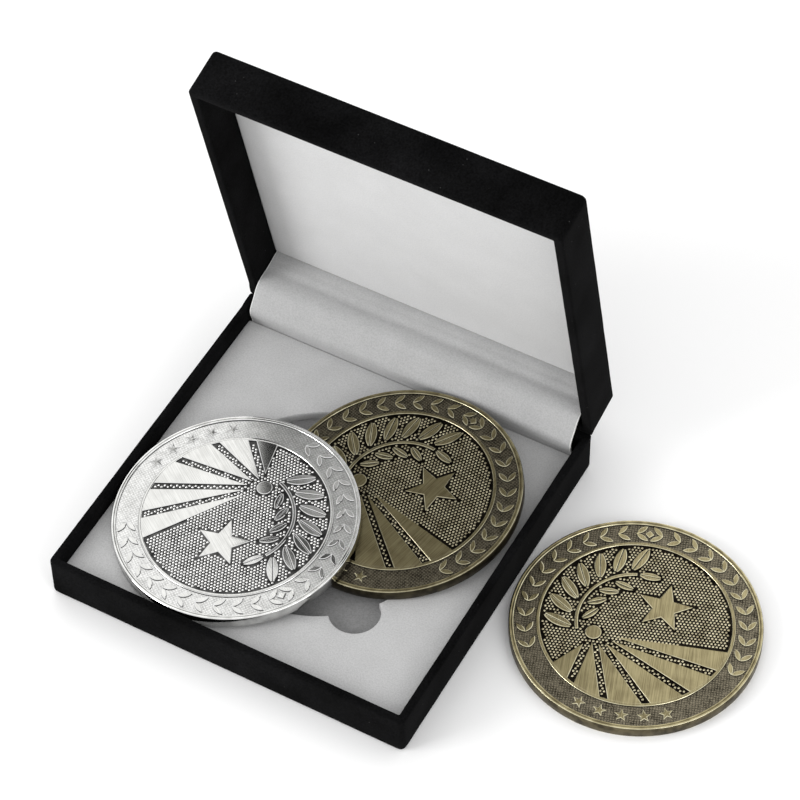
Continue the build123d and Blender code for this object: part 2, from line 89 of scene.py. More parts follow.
def arc(first: Flat, middle: Flat, last: Flat, steps: int) -> list[Flat]:
    """Points on the circle through three points.

    Args:
        first: where the arc starts.
        middle: a point it passes through.
        last: where it ends.
        steps: how many equal parts it is divided into.

    Returns:
        steps + 1 points, both ends included.
    """
    (ax, ay), (bx, by), (cx, cy) = first, middle, last
    d = 2 * (ax * (by - cy) + bx * (cy - ay) + cx * (ay - by))
    if abs(d) < 1e-9:
        return [(ax + (cx - ax) * k / steps, ay + (cy - ay) * k / steps) for k in range(steps + 1)]
    a2, b2, c2 = ax * ax + ay * ay, bx * bx + by * by, cx * cx + cy * cy
    ux = (a2 * (by - cy) + b2 * (cy - ay) + c2 * (ay - by)) / d
    uy = (a2 * (cx - bx) + b2 * (ax - cx) + c2 * (bx - ax)) / d
    radius = math.hypot(ax - ux, ay - uy)
    start, mid, end = (math.atan2(y - uy, x - ux) for x, y in (first, middle, last))
    sweep = (end - start) % math.tau
    if (mid - start) % math.tau > sweep:
        sweep -= math.tau
    return [
        (ux + radius * math.cos(start + sweep * k / steps), uy + radius * math.sin(start + sweep * k / steps))
        for k in range(steps + 1)
    ]


def area_of(outline: list[Flat]) -> float:
    """Signed area of a closed outline, positive when it runs anticlockwise."""
    pairs = zip(outline, outline[1:] + outline[:1])
    return sum(a[0] * b[1] - b[0] * a[1] for a, b in pairs) / 2


def inset(outline: list[Flat], depth: float, longest: float = 2.2) -> list[Flat]:
    """A closed anticlockwise outline moved inward, with its corners mitred.

    Args:
        outline: the points, in order.
        depth: how far in, or out when it is negative.
        longest: the most that a mitre may reach, as a multiple of depth.

    Returns:
        As many points as came in.
    """
    moved = []
    count = len(outline)
    for k in range(count):
        before, here, after = outline[k - 1], outline[k], outline[(k + 1) % count]
        ways = []
        for p, q in ((before, here), (here, after)):
            dx, dy = q[0] - p[0], q[1] - p[1]
            length = math.hypot(dx, dy) or 1.0
            ways.append((-dy / length, dx / length))
        (ax, ay), (bx, by) = ways
        scale = min(1 / max(1 + ax * bx + ay * by, 1e-6), longest / max(math.hypot(ax + bx, ay + by), 1e-6))
        moved.append((here[0] + (ax + bx) * scale * depth, here[1] + (ay + by) * scale * depth))
    return moved


def inside(point: Flat, outline: list[Flat]) -> bool:
    """Whether a point lies in a closed outline.

    Args:
        point: the point.
        outline: the outline's points, in order.

    Returns:
        True if it does.
    """
    x, y = point
    found = False
    for (ax, ay), (bx, by) in zip(outline, outline[1:] + outline[:1]):
        if (ay > y) != (by > y) and x < (bx - ax) * (y - ay) / (by - ay) + ax:
            found = not found
    return found


def placed(outline: list[Flat], place: Matrix) -> list[Flat]:
    """A flat outline moved by a matrix that keeps it flat."""
    return [tuple((place @ Vector((x, y, 0)))[:2]) for x, y in outline]


def at(x: float, y: float, degrees: float = 0.0) -> Matrix:
    """A move and a turn in the plane."""
    return Matrix.Translation((x, y, 0)) @ Matrix.Rotation(math.radians(degrees), 4, "Z")


class Draft:
    """The points and faces of one mesh, gathered in millimetres."""

    def __init__(self) -> None:
        """Starts with nothing."""
        self.points: list[Point] = []
        self.faces: list[list[int]] = []
        self.kinds: list[int] = []

    def row(self, points: list[Point]) -> list[int]:
        """Adds points.

        Args:
            points: where they are.

        Returns:
            Their numbers.
        """
        start = len(self.points)
        self.points.extend(tuple(p) for p in points)
        return list(range(start, start + len(points)))

    def level(self, outline: list[Flat], z: float) -> list[int]:
        """Adds a flat outline at one height and returns its points' numbers."""
        return self.row([(x, y, z) for x, y in outline])

    def face(self, ids: list[int], kind: int = 0) -> None:
        """Adds one face of a finish."""
        self.faces.append(ids)
        self.kinds.append(kind)

    def bridge(self, low: list[int], high: list[int], kind: int = 0, closed: bool = True) -> None:
        """Adds quads between two rows of as many points.

        Args:
            low: the first row.
            high: the second row.
            kind: the finish.
            closed: whether the rows run round to where they start.
        """
        count = len(low)
        for k in range(count if closed else count - 1):
            n = (k + 1) % count
            self.face([low[k], low[n], high[n], high[k]], kind)

    def stack(self, rows: list[list[int]], closed: bool = True) -> None:
        """Adds quads between each row and the next."""
        for low, high in zip(rows, rows[1:]):
            self.bridge(low, high, closed=closed)

    def fan(self, ids: list[int], centre: Point, kind: int = 0) -> None:
        """Closes a row with triangles that meet in a point.

        Args:
            ids: the row.
            centre: the point.
            kind: the finish.
        """
        tip = self.row([centre])[0]
        for k, one in enumerate(ids):
            self.face([one, ids[(k + 1) % len(ids)], tip], kind)

    def build(
        self, name: str, finishes: list[Material], place: Matrix | None = None, sharp: float = 40.0
    ) -> Object:
        """Makes the object.

        Args:
            name: the piece's name.
            finishes: materials, in the order of the faces' kinds.
            place: where the piece stands, in millimetres, or None for the row frame itself.
            sharp: edges that turn by more than this, in degrees, stay crisp.

        Returns:
            The new object, linked to the scene.
        """
        mesh = bpy.data.meshes.new(name)
        mesh.from_pydata([tuple(c * MM for c in p) for p in self.points], [], self.faces)
        for finish in finishes:
            mesh.materials.append(finish)
        mesh.polygons.foreach_set("material_index", self.kinds)
        mesh.polygons.foreach_set("use_smooth", [True] * len(self.faces))
        work = bmesh.new()
        work.from_mesh(mesh)
        bmesh.ops.recalc_face_normals(work, faces=work.faces)
        work.to_mesh(mesh)
        work.free()
        mesh.set_sharp_from_angle(angle=math.radians(sharp))
        made = bpy.data.objects.new(name, mesh)
        bpy.context.scene.collection.objects.link(made)
        if place is not None:
            matrix = place.copy()
            matrix.translation = place.translation * MM
            made.matrix_world = matrix
        return made


def uneven(point: Point, size: float, seed: float) -> float:
    """Smooth noise from -1 to 1 at a point, in waves about size millimetres long."""
    return noise.noise(Vector(point) / size + Vector((seed, seed * 1.7, -seed)))


def cut_slots(piece: Object, cuts: list[tuple[Point, Point]]) -> None:
    """Cuts blocks out of a closed piece.

    Args:
        piece: what is cut.
        cuts: each block's two corners, in millimetres.
    """
    for low, high in cuts:
        cutter = Draft()
        base = [(low[0], low[1]), (high[0], low[1]), (high[0], high[1]), (low[0], high[1])]
        foot, head = cutter.level(base, low[2]), cutter.level(base, high[2])
        cutter.bridge(foot, head)
        cutter.face(foot[::-1])
        cutter.face(head)
        block = cutter.build("cutter", [])
        block.matrix_world = piece.matrix_world
        change = piece.modifiers.new("slot", "BOOLEAN")
        change.operation = "DIFFERENCE"
        change.solver = "EXACT"
        change.object = block
        bpy.context.view_layer.update()
        shape = piece.evaluated_get(bpy.context.evaluated_depsgraph_get())
        piece.data = bpy.data.meshes.new_from_object(shape)
        piece.modifiers.clear()
        bpy.data.objects.remove(block)


# ---------------------------------------------------------------- finishes
class Surface:
    """A material in the making: its node tree, its shader and the piece's own coordinates."""

    def __init__(self, name: str) -> None:
        """Starts a material with one Principled shader."""
        self.material = bpy.data.materials.new(name)
        self.material.use_nodes = True
        self.tree = self.material.node_tree
        self.tree.nodes.clear()
        self.shader = self.add("BsdfPrincipled")
        self.add("OutputMaterial", {"Surface": self.shader.outputs["BSDF"]})
        self.coords = self.add("TexCoord").outputs["Object"]

    def add(self, kind: str, inputs: dict | None = None, **settings) -> bpy.types.Node:
        """Adds one node.

        Args:
            kind: the node's type, without its ShaderNode prefix.
            inputs: what goes into each socket, a value or another node's output.
            settings: the node's own settings.

        Returns:
            The node.
        """
        node = self.tree.nodes.new("ShaderNode" + kind)
        for name, value in settings.items():
            setattr(node, name, value)
        self.feed(node, inputs or {})
        return node

    def feed(self, node: bpy.types.Node, inputs: dict) -> None:
        """Sets or links a node's sockets.

        Args:
            node: the node.
            inputs: what goes into each socket, a value or another node's output.
        """
        for socket, value in inputs.items():
            if isinstance(value, bpy.types.NodeSocket):
                self.tree.links.new(value, node.inputs[socket])
            else:
                node.inputs[socket].default_value = value

    def dress(self, inputs: dict) -> Material:
        """Feeds the shader and gives the finished material."""
        self.feed(self.shader, inputs)
        return self.material


@dataclass(frozen=True)
class FlockedVelvet:
    """Black nylon flock on cloth, glued over the shells: deep matt black that greys at a glance."""

    name: str = "flocked_velvet_black"
    pile: str = "060606"
    lifted_pile: str = "19191a"
    lint: str = "3c3c3c"
    fibre_mm: float = 0.42
    hand_mark_mm: float = 14.0
    lint_mm: float = 3.6

    def build(self) -> Material:
        """Makes the material.

        Returns:
            The material.
        """
        s = Surface(self.name)
        fibre = s.add("TexNoise", {"Vector": s.coords, "Scale": per_mm(self.fibre_mm), "Detail": 3.0})
        mark = s.add("TexNoise", {"Vector": s.coords, "Scale": per_mm(self.hand_mark_mm), "Detail": 2.0})
        lift = s.add("Math", {0: fibre.outputs["Fac"], 1: mark.outputs["Fac"]}, operation="MULTIPLY")
        share = s.add("MapRange", {"Value": lift.outputs[0], "From Min": 0.1, "From Max": 0.5})
        colour = s.add(
            "Mix", {0: share.outputs[0], 6: linear(self.pile), 7: linear(self.lifted_pile)}, data_type="RGBA"
        )
        # A fleck of lint lies here and there, where a cell's middle comes up through the pile.
        cell = s.add("TexVoronoi", {"Vector": s.coords, "Scale": per_mm(self.lint_mm)})
        fleck = s.add("MapRange", {"Value": cell.outputs["Distance"], "From Min": 0.05, "From Max": 0.025})
        colour = s.add(
            "Mix", {0: fleck.outputs[0], 6: colour.outputs[2], 7: linear(self.lint)}, data_type="RGBA"
        )
        # Each fibre tuft is drawn a little coarser than the real 0.1 mm, so that it shows at arm's length.
        nap = s.add("Bump", {"Height": fibre.outputs["Fac"], "Strength": 0.5, "Distance": 0.12 * MM})
        return s.dress(
            {
                "Base Color": colour.outputs[2],
                "Roughness": 0.95,
                "Specular IOR Level": 0.0,
                "Sheen Weight": 0.04,
                "Sheen Roughness": 0.45,
                "Sheen Tint": linear("b4b4b4"),
                "Normal": nap.outputs[0],
            }
        )


@dataclass(frozen=True)
class BrushedVelour:
    """Short warp-knit velour, brushed: soft light grey with a faint fleck and a dry, even nap."""

    name: str
    light: str
    shade: str
    fibre_mm: float = 0.38
    patch_mm: float = 9.0
    nap_depth_mm: float = 0.07

    def build(self) -> Material:
        """Makes the material.

        Returns:
            The material.
        """
        s = Surface(self.name)
        fibre = s.add("TexNoise", {"Vector": s.coords, "Scale": per_mm(self.fibre_mm), "Detail": 4.0})
        patch = s.add("TexNoise", {"Vector": s.coords, "Scale": per_mm(self.patch_mm), "Detail": 2.0})
        fleck = s.add("MapRange", {"Value": fibre.outputs["Fac"], "From Min": 0.32, "From Max": 0.62})
        wide = s.add("MapRange", {"Value": patch.outputs["Fac"], "From Min": 0.3, "From Max": 0.7})
        both = s.add("Mix", {0: 0.3, 2: fleck.outputs[0], 3: wide.outputs[0]}, data_type="FLOAT")
        colour = s.add(
            "Mix", {0: both.outputs[0], 6: linear(self.shade), 7: linear(self.light)}, data_type="RGBA"
        )
        nap = s.add(
            "Bump", {"Height": fibre.outputs["Fac"], "Strength": 0.45, "Distance": self.nap_depth_mm * MM}
        )
        return s.dress(
            {
                "Base Color": colour.outputs[2],
                "Roughness": 0.92,
                "Specular IOR Level": 0.2,
                "Sheen Weight": 0.12,
                "Sheen Roughness": 0.5,
                "Normal": nap.outputs[0],
            }
        )


@dataclass(frozen=True)
class PlatedMetal:
    """What every plated metal here shares: one plating in two tones, and bare metal's own reflection."""

    name: str
    bright: str
    dull: str
    roughness: float
    # Every colour is multiplied by this; under 1 it darkens the metal with painted shade.
    painted_shade_factor: float = 1.0

    def plate(self, s: Surface, share: Socket, rough: Socket | float, relief: Socket) -> Material:
        """Mixes the two tones and ends the material.

        Args:
            s: the material in the making.
            share: how much of the bright tone shows.
            rough: the roughness.
            relief: the bumped normal.

        Returns:
            The material.
        """
        colours = {6: linear(self.dull, self.painted_shade_factor), 7: linear(self.bright, self.painted_shade_factor)}
        colour = s.add("Mix", {0: share, **colours}, data_type="RGBA").outputs[2]
        return s.dress({"Base Color": colour, "Metallic": 1.0, "Roughness": rough, "Normal": relief})


@dataclass(frozen=True)
class BrushedMetal(PlatedMetal):
    """Plated relief, brushed one way after striking: a streaked satin shine across the raised parts."""

    stroke_mm: float = 0.22
    stroke_length_mm: float = 9.0
    stroke_depth_mm: float = 0.006
    tarnish_mm: float = 4.0

    def build(self) -> Material:
        """Makes the material.

        Returns:
            The material.
        """
        s = Surface(self.name)
        # Strokes run up the coin. Real ones are 0.02 mm wide, and these are wide enough to be seen.
        stretch = s.add(
            "Mapping",
            {
                "Vector": s.coords,
                "Scale": (per_mm(self.stroke_mm), per_mm(self.stroke_length_mm), per_mm(5.0)),
            },
        )
        stroke = s.add("TexNoise", {"Vector": stretch.outputs[0], "Scale": 1.0, "Detail": 2.0})
        tarnish = s.add("TexNoise", {"Vector": s.coords, "Scale": per_mm(self.tarnish_mm), "Detail": 3.0})
        mixed = s.add(
            "Mix", {0: 0.35, 2: stroke.outputs["Fac"], 3: tarnish.outputs["Fac"]}, data_type="FLOAT"
        )
        share = s.add("MapRange", {"Value": mixed.outputs[0], "From Min": 0.36, "From Max": 0.62})
        rough = s.add(
            "MapRange",
            {"Value": stroke.outputs["Fac"], "To Min": self.roughness * 1.25, "To Max": self.roughness * 0.8},
        )
        cut = s.add(
            "Bump", {"Height": stroke.outputs["Fac"], "Strength": 0.6, "Distance": self.stroke_depth_mm * MM}
        )
        return self.plate(s, share.outputs[0], rough.outputs[0], cut.outputs[0])


@dataclass(frozen=True)
class StippledMetal(PlatedMetal):
    """Sunk ground of a struck face, left with its die's fine grain and faint hatch, and dark from the dip."""

    hatch_mm: float = 0.34
    grain_mm: float = 0.3
    grime_mm: float = 2.5

    def build(self) -> Material:
        """Makes the material.

        Returns:
            The material.
        """
        s = Surface(self.name)
        waves = [
            s.add(
                "TexWave",
                {
                    "Vector": s.coords,
                    "Scale": per_mm(self.hatch_mm) / math.tau,
                    "Distortion": 1.2,
                    "Detail": 1.0,
                },
                bands_direction=way,
            ).outputs["Fac"]
            for way in ("X", "Y")
        ]
        hatch = s.add("Math", {0: waves[0], 1: waves[1]}, operation="MULTIPLY")
        grain = s.add("TexNoise", {"Vector": s.coords, "Scale": per_mm(self.grain_mm), "Detail": 3.0})
        die_skin = s.add("Mix", {0: 0.72, 2: hatch.outputs[0], 3: grain.outputs["Fac"]}, data_type="FLOAT")
        grime = s.add("TexNoise", {"Vector": s.coords, "Scale": per_mm(self.grime_mm), "Detail": 4.0})
        worn = s.add("Mix", {0: 0.3, 2: die_skin.outputs[0], 3: grime.outputs["Fac"]}, data_type="FLOAT")
        share = s.add("MapRange", {"Value": worn.outputs[0], "From Min": 0.32, "From Max": 0.6})
        die = s.add("Bump", {"Height": die_skin.outputs[0], "Strength": 0.7, "Distance": 0.05 * MM})
        return self.plate(s, share.outputs[0], self.roughness, die.outputs[0])


@dataclass(frozen=True)
class BurnishedMetal(PlatedMetal):
    """Plated metal rubbed bright by handling: clean, with faint dull clouds and hairlines."""

    cloud_mm: float = 3.0
    hairline_mm: float = 0.3

    def build(self) -> Material:
        """Makes the material.

        Returns:
            The material.
        """
        s = Surface(self.name)
        cloud = s.add("TexNoise", {"Vector": s.coords, "Scale": per_mm(self.cloud_mm), "Detail": 4.0})
        hair = s.add("TexNoise", {"Vector": s.coords, "Scale": per_mm(self.hairline_mm), "Detail": 2.0})
        share = s.add("MapRange", {"Value": cloud.outputs["Fac"], "From Min": 0.35, "From Max": 0.6})
        rough = s.add(
            "MapRange",
            {"Value": cloud.outputs["Fac"], "To Min": self.roughness * 1.3, "To Max": self.roughness * 0.75},
        )
        mark = s.add("Bump", {"Height": hair.outputs["Fac"], "Strength": 0.25, "Distance": 0.004 * MM})
        return self.plate(s, share.outputs[0], rough.outputs[0], mark.outputs[0])


@dataclass(frozen=True)
class MouldedAbs:
    """Black injection-moulded ABS with a spark-eroded skin: a dull, slightly grey sheen."""

    name: str = "moulded_abs_black"
    resin: str = "1c1c1e"
    rubbed: str = "2b2b2d"

    def build(self) -> Material:
        """Makes the material.

        Returns:
            The material.
        """
        s = Surface(self.name)
        grain = s.add("TexNoise", {"Vector": s.coords, "Scale": per_mm(0.5), "Detail": 3.0})
        colour = s.add(
            "Mix", {0: grain.outputs["Fac"], 6: linear(self.resin), 7: linear(self.rubbed)}, data_type="RGBA"
        )
        skin = s.add("Bump", {"Height": grain.outputs["Fac"], "Strength": 0.3, "Distance": 0.03 * MM})
        return s.dress(
            {"Base Color": colour.outputs[2], "Roughness": 0.55, "IOR": 1.53, "Normal": skin.outputs[0]}
        )


@dataclass(frozen=True)
class PressedFibre:
    """Paper, board or foam: pulp or cells pressed flat, with short fibres or pores that fleck it."""

    name: str
    light: str
    dark: str
    fibre_mm: float
    roughness: float = 0.9

    def build(self) -> Material:
        """Makes the material.

        Returns:
            The material.
        """
        s = Surface(self.name)
        fibre = s.add("TexVoronoi", {"Vector": s.coords, "Scale": per_mm(self.fibre_mm)})
        blot = s.add("TexNoise", {"Vector": s.coords, "Scale": per_mm(self.fibre_mm * 9), "Detail": 4.0})
        mixed = s.add(
            "Mix", {0: 0.5, 2: fibre.outputs["Distance"], 3: blot.outputs["Fac"]}, data_type="FLOAT"
        )
        colour = s.add(
            "Mix", {0: mixed.outputs[0], 6: linear(self.dark), 7: linear(self.light)}, data_type="RGBA"
        )
        tooth = s.add("Bump", {"Height": mixed.outputs[0], "Strength": 0.4, "Distance": 0.05 * MM})
        return s.dress(
            {"Base Color": colour.outputs[2], "Roughness": self.roughness, "Normal": tooth.outputs[0]}
        )


@dataclass(frozen=True)
class StudioPaper:
    """Seamless background paper: plain, pale and matt, with a barely visible tooth."""

    name: str = "studio_paper"
    pale: str = "ffffff"

    def build(self) -> Material:
        """Makes the material.

        Returns:
            The material.
        """
        s = Surface(self.name)
        tooth = s.add("TexNoise", {"Vector": s.coords, "Scale": per_mm(1.2), "Detail": 2.0})
        rise = s.add("Bump", {"Height": tooth.outputs["Fac"], "Strength": 0.05, "Distance": 0.05 * MM})
        return s.dress({"Base Color": linear(self.pale), "Roughness": 0.9, "Normal": rise.outputs[0]})


class Alloy(Enum):
    """How a coin is plated, each named as the record's material slot."""

    ANTIQUE_BRASS = "antique_brass"
    POLISHED_NICKEL = "polished_nickel"

    def finishes(self, painted_shade_factor: float) -> list[Material]:
        """Makes a coin's materials.

        Args:
            painted_shade_factor: painted shade, how far the coin's colours are darkened for the open lid's
                shadow over it, from 1 for none down to 0.

        Returns:
            One for each CoinPart, in that order.
        """
        if self is Alloy.ANTIQUE_BRASS:
            made = [
                StippledMetal("antique_brass_dark_ground", "8c8471", "312e26", 0.5),
                BrushedMetal("antique_brass_brushed_relief", "a19773", "796f52", 0.34),
                BurnishedMetal("antique_brass_dark_wall", "26221b", "100e0b", 0.55),
                BurnishedMetal("antique_brass_rubbed_rim", "aca17b", "827859", 0.3),
                BurnishedMetal("antique_brass_toned_side", "6b634d", "453f31", 0.42),
                # The arris is coloured near white: partly rubbed metal, partly a painted highlight.
                BurnishedMetal("antique_brass_bright_arris", "f4edcc", "d2c9a4", 0.22),
                # Pebble crowns are lighter than the relief: partly rubbed high points, partly a painted
                # highlight.
                BurnishedMetal("antique_brass_pebble_crown", "e2d9b8", "b0a688", 0.3),
                BurnishedMetal("antique_brass_pebble_foot", "26221b", "100e0b", 0.55),
            ]
        else:
            made = [
                StippledMetal("nickel_frosted_ground", "dededc", "a8a8a6", 0.28),
                BrushedMetal("nickel_polished_relief", "cfcfcc", "b9b9b6", 0.12, stroke_depth_mm=0.0015),
                BurnishedMetal("nickel_shaded_wall", "545453", "2c2c2c", 0.3),
                BurnishedMetal("nickel_mirror_rim", "e0e0dd", "c8c8c5", 0.07),
                BurnishedMetal("nickel_mirror_side", "e2e2e0", "c5c5c3", 0.1),
                # The nickel arris is coloured white: a painted highlight.
                BurnishedMetal("nickel_arris_painted_highlight", "ffffff", "f4f4f2", 0.08),
                # Nickel pebble crowns are near white, a painted highlight, and their feet darker, a painted
                # shade.
                BurnishedMetal("nickel_pebble_crown_painted_highlight", "fafaf8", "e6e6e4", 0.14),
                BurnishedMetal("nickel_pebble_foot_painted_shade", "9c9c9b", "70706f", 0.3),
            ]
        # A coin under painted shade gets darkened copies of its materials, named for it.
        mark = "" if painted_shade_factor == 1.0 else "_in_painted_shade"
        return [replace(finish, name=finish.name + mark, painted_shade_factor=painted_shade_factor).build() for finish in made]


class CoinPart(Enum):
    """Which finish a face of a coin takes."""

    GROUND = 0
    RAISED = 1
    WALL = 2
    RIM = 3
    SIDE = 4
    ARRIS = 5
    PEBBLE = 6
    PEBBLE_FOOT = 7


# ---------------------------------------------------------------- coins
def faced(point: Vector, flip: Matrix | None) -> Point:
    """A point of the front face as it is, or turned to the back face."""
    return tuple(flip @ point) if flip else tuple(point)


@dataclass
class Coin:
    """A struck coin: rim, laurel band, inner ring, raised devices and a pebbled field, on both faces."""

    name: str
    node: str
    body: str
    alloy: Alloy
    place: Matrix
    painted_shade_factor: float = 1.0
    radius: float = 31.75
    thickness: float = 3.2
    chamfer: float = 0.2
    rim_width: float = 1.3
    band_width: float = 5.55
    ring_width: float = 0.95
    relief: float = 0.35
    below_rim: float = 0.05
    pebble_pitch: float = 0.92
    pebble_radius: float = 0.38
    pebble_height: float = 0.28
    pebble_sides: int = 8
    pebble_clearance: float = 0.42
    vein: float = 0.1
    star_drop: float = 0.16
    device_drop: float = 0.006
    laurel_pairs: int = 12
    laurel_first: float = 7.0
    laurel_step: float = 9.8
    laurel_lean: float = 38.0
    foot_star_step: float = 11.5
    turns: int = 288

    def __post_init__(self) -> None:
        """Works out the radii and levels that follow from the sizes."""
        self.band_outer = self.radius - self.rim_width
        self.band_inner = self.band_outer - self.band_width
        self.band_middle = self.band_outer - self.band_width / 2
        self.field_radius = self.band_inner - self.ring_width
        self.ground = self.thickness - self.relief
        self.level = self.thickness - self.below_rim

    def face_profile(self) -> list[tuple[float, float, CoinPart]]:
        """The struck face's section, from the field's edge out to the coin's side.

        Returns:
            Radius, height and the finish of what follows, for each point.
        """
        f, b, o, r = self.field_radius, self.band_inner, self.band_outer, self.radius
        g, v, t = self.ground, self.level, self.thickness
        return [
            (f - 0.02, g, CoinPart.WALL),
            (f + 0.04, v - 0.09, CoinPart.ARRIS),
            (f + 0.17, v, CoinPart.RAISED),
            ((f + b) / 2, v + 0.02, CoinPart.RAISED),
            (b - 0.17, v, CoinPart.ARRIS),
            (b - 0.04, v - 0.09, CoinPart.WALL),
            (b + 0.02, g, CoinPart.GROUND),
            (o - 0.02, g, CoinPart.WALL),
            (o + 0.05, t - 0.1, CoinPart.ARRIS),
            (o + 0.2, t - 0.01, CoinPart.RIM),
            (o + 0.46, t, CoinPart.RIM),
            (o + 0.52, t - 0.07, CoinPart.WALL),
            (o + 0.6, t - 0.07, CoinPart.RIM),
            (o + 0.66, t, CoinPart.RIM),
            (r - 0.28, t, CoinPart.ARRIS),
            (r - 0.1, t - 0.07, CoinPart.SIDE),
            (r, t - 0.24, CoinPart.SIDE),
        ]

    def circle(self, radius: float) -> list[Flat]:
        """A circle in as many steps as the coin's outline has."""
        return [polar(radius, 360 * k / self.turns) for k in range(self.turns)]

    def blank(self, draft: Draft) -> None:
        """Turns the coin's own profile, both faces, about its axis."""
        half = self.face_profile()
        kinds = [kind.value for _, _, kind in half]
        rows = [draft.level(self.circle(r), z) for r, z, _ in half]
        for k in range(len(rows) - 1):
            draft.bridge(rows[k], rows[k + 1], kinds[k])
        under = [draft.level(self.circle(r), self.thickness - z) for r, z, _ in half]
        for k in range(len(under) - 1):
            draft.bridge(under[k + 1], under[k], kinds[k])
        draft.bridge(rows[-1], under[-1], CoinPart.SIDE.value)
        for ring, z in ((rows[0], self.ground), (under[0], self.thickness - self.ground)):
            inner = draft.level(self.circle(self.field_radius / 2), z)
            draft.bridge(ring, inner, CoinPart.WALL.value)
            draft.fan(inner, (0.0, 0.0, z), CoinPart.WALL.value)

    @staticmethod
    def leaf(length: float, width: float, bend: float = 0.0, steps: int = 9) -> list[Flat]:
        """A pointed leaf from the origin along X.

        Args:
            length: from stalk to tip.
            width: across its middle.
            bend: how far the tip bows sideways.
            steps: the parts each side is divided into.

        Returns:
            Its outline.
        """
        tip = (length, bend)
        low = arc((0, 0), (length * 0.45, bend * 0.45 - width / 2), tip, steps)
        high = arc(tip, (length * 0.55, bend * 0.55 + width / 2), (0, 0), steps)
        return low[:-1] + high[:-1]

    @staticmethod
    def veined_leaf(
        length: float, width: float, bend: float, vein: float, steps: int = 12
    ) -> list[list[Flat]]:
        """A leaf as two halves, one each side of its sunk midrib.

        Args:
            length: from stalk to tip.
            width: across its middle.
            bend: how far the tip bows sideways.
            vein: half the midrib's width.
            steps: the parts each side is divided into.

        Returns:
            The two outlines.
        """
        tip = (length, bend)
        low = arc((0, 0), (length * 0.45, bend * 0.45 - width / 2), tip, steps)
        high = arc((0, 0), (length * 0.55, bend * 0.55 + width / 2), tip, steps)
        rib = arc((0, 0), (length * 0.5, bend * 0.62), tip, steps)[1:-1]
        lower = low[1:-1] + [(x, y - vein) for x, y in reversed(rib)]
        upper = [(x, y + vein) for x, y in rib] + list(reversed(high[1:-1]))
        return [lower, upper]

    @staticmethod
    def star(radius: float, ratio: float = 0.42) -> list[Flat]:
        """A five-pointed star with one point up."""
        return [polar(radius if k % 2 == 0 else radius * ratio, 90 + 36 * k) for k in range(STAR_CORNERS)]

    def band_devices(self) -> list[list[Flat]]:
        """A running laurel border in the outer band, and five stars at its foot.

        Returns:
            Their outlines.
        """
        shapes = []
        length = self.band_width * 0.66
        for side in (-1, 1):
            for k in range(self.laurel_pairs):
                angle = 90 + side * (self.laurel_first + self.laurel_step * k)
                for lean in (-self.laurel_lean, self.laurel_lean):
                    place = at(*polar(self.band_middle, angle), angle - side * 90 + lean)
                    shapes.append(placed(self.leaf(length, length * 0.36), place))
        for k in range(-2, 3):
            angle = 270 + self.foot_star_step * k
            place = at(*polar(self.band_middle, angle), angle - 270)
            shapes.append(placed(self.star(self.band_width * 0.34), place))
        lozenge = [polar(1.13, 90 * k) for k in range(4)]
        shapes.append(placed(lozenge, at(*polar(self.band_middle, 90))))
        return shapes

    def front_devices(self) -> list[list[Flat]]:
        """A low sun with rays that widen to the inner ring, a laurel branch and a star.

        Returns:
            Their outlines.
        """
        f = self.field_radius
        shapes = []
        root = polar(f * 0.46, 204)
        edge = f + 0.3
        limits = [(219, 233), (238, 256), (261, 281), (286, 306), (311, 328), (333, 348)]
        for k, (first, last) in enumerate(limits):
            target = polar(edge, (first + last) / 2)
            start = 0.17 if k else 0.3
            tip = tuple(r + (t - r) * start for r, t in zip(root, target))
            shapes.append([tip] + arc(polar(edge, first), target, polar(edge, last), 10))
        shapes.append(placed([polar(f * 0.085, 12 * k) for k in range(30)], at(*root)))
        shapes += self.laurel_branch()
        shapes.append(placed(self.star(f * 0.30), at(*polar(f * 0.36, 42), -8)))
        return shapes

    def laurel_branch(self) -> list[list[Flat]]:
        """A stem that follows the inner ring on the left, with veined leaves on both its sides.

        Returns:
            Their outlines.
        """
        f = self.field_radius
        outside, inner = (
            arc(polar(f * r, 196), polar(f * r, 146), polar(f * r, 96), 24) for r in (0.637, 0.603)
        )
        shapes = [outside + inner[::-1]]
        # Each spray: how many leaves, the first one's angle, the step, the roots' radius, heading and size.
        sprays = [(7, 194, 15.5, 0.66, -40, 0.36), (4, 184, 21.0, 0.57, -135, 0.24)]
        for count, first, step, root, heading, size in sprays:
            for k in range(count):
                angle = first - step * k
                place = at(*polar(f * root, angle), angle + heading)
                bend = f * size * (0.08 if heading > -90 else -0.08)
                halves = self.veined_leaf(f * size, f * size * 0.34, bend, self.vein)
                shapes += [placed(half, place) for half in halves]
        tip = at(*polar(f * 0.62, 95), -4)
        return shapes + [placed(half, tip) for half in self.veined_leaf(f * 0.26, f * 0.09, 0.0, self.vein)]

    def back_devices(self) -> list[list[Flat]]:
        """A large star with five leaves between its points.

        Returns:
            Their outlines.
        """
        f = self.field_radius
        shapes = [self.star(f * 0.62)]
        for k in range(5):
            angle = 126 + 72 * k
            shapes.append(placed(self.leaf(f * 0.44, f * 0.14), at(*polar(f * 0.42, angle), angle)))
        return shapes

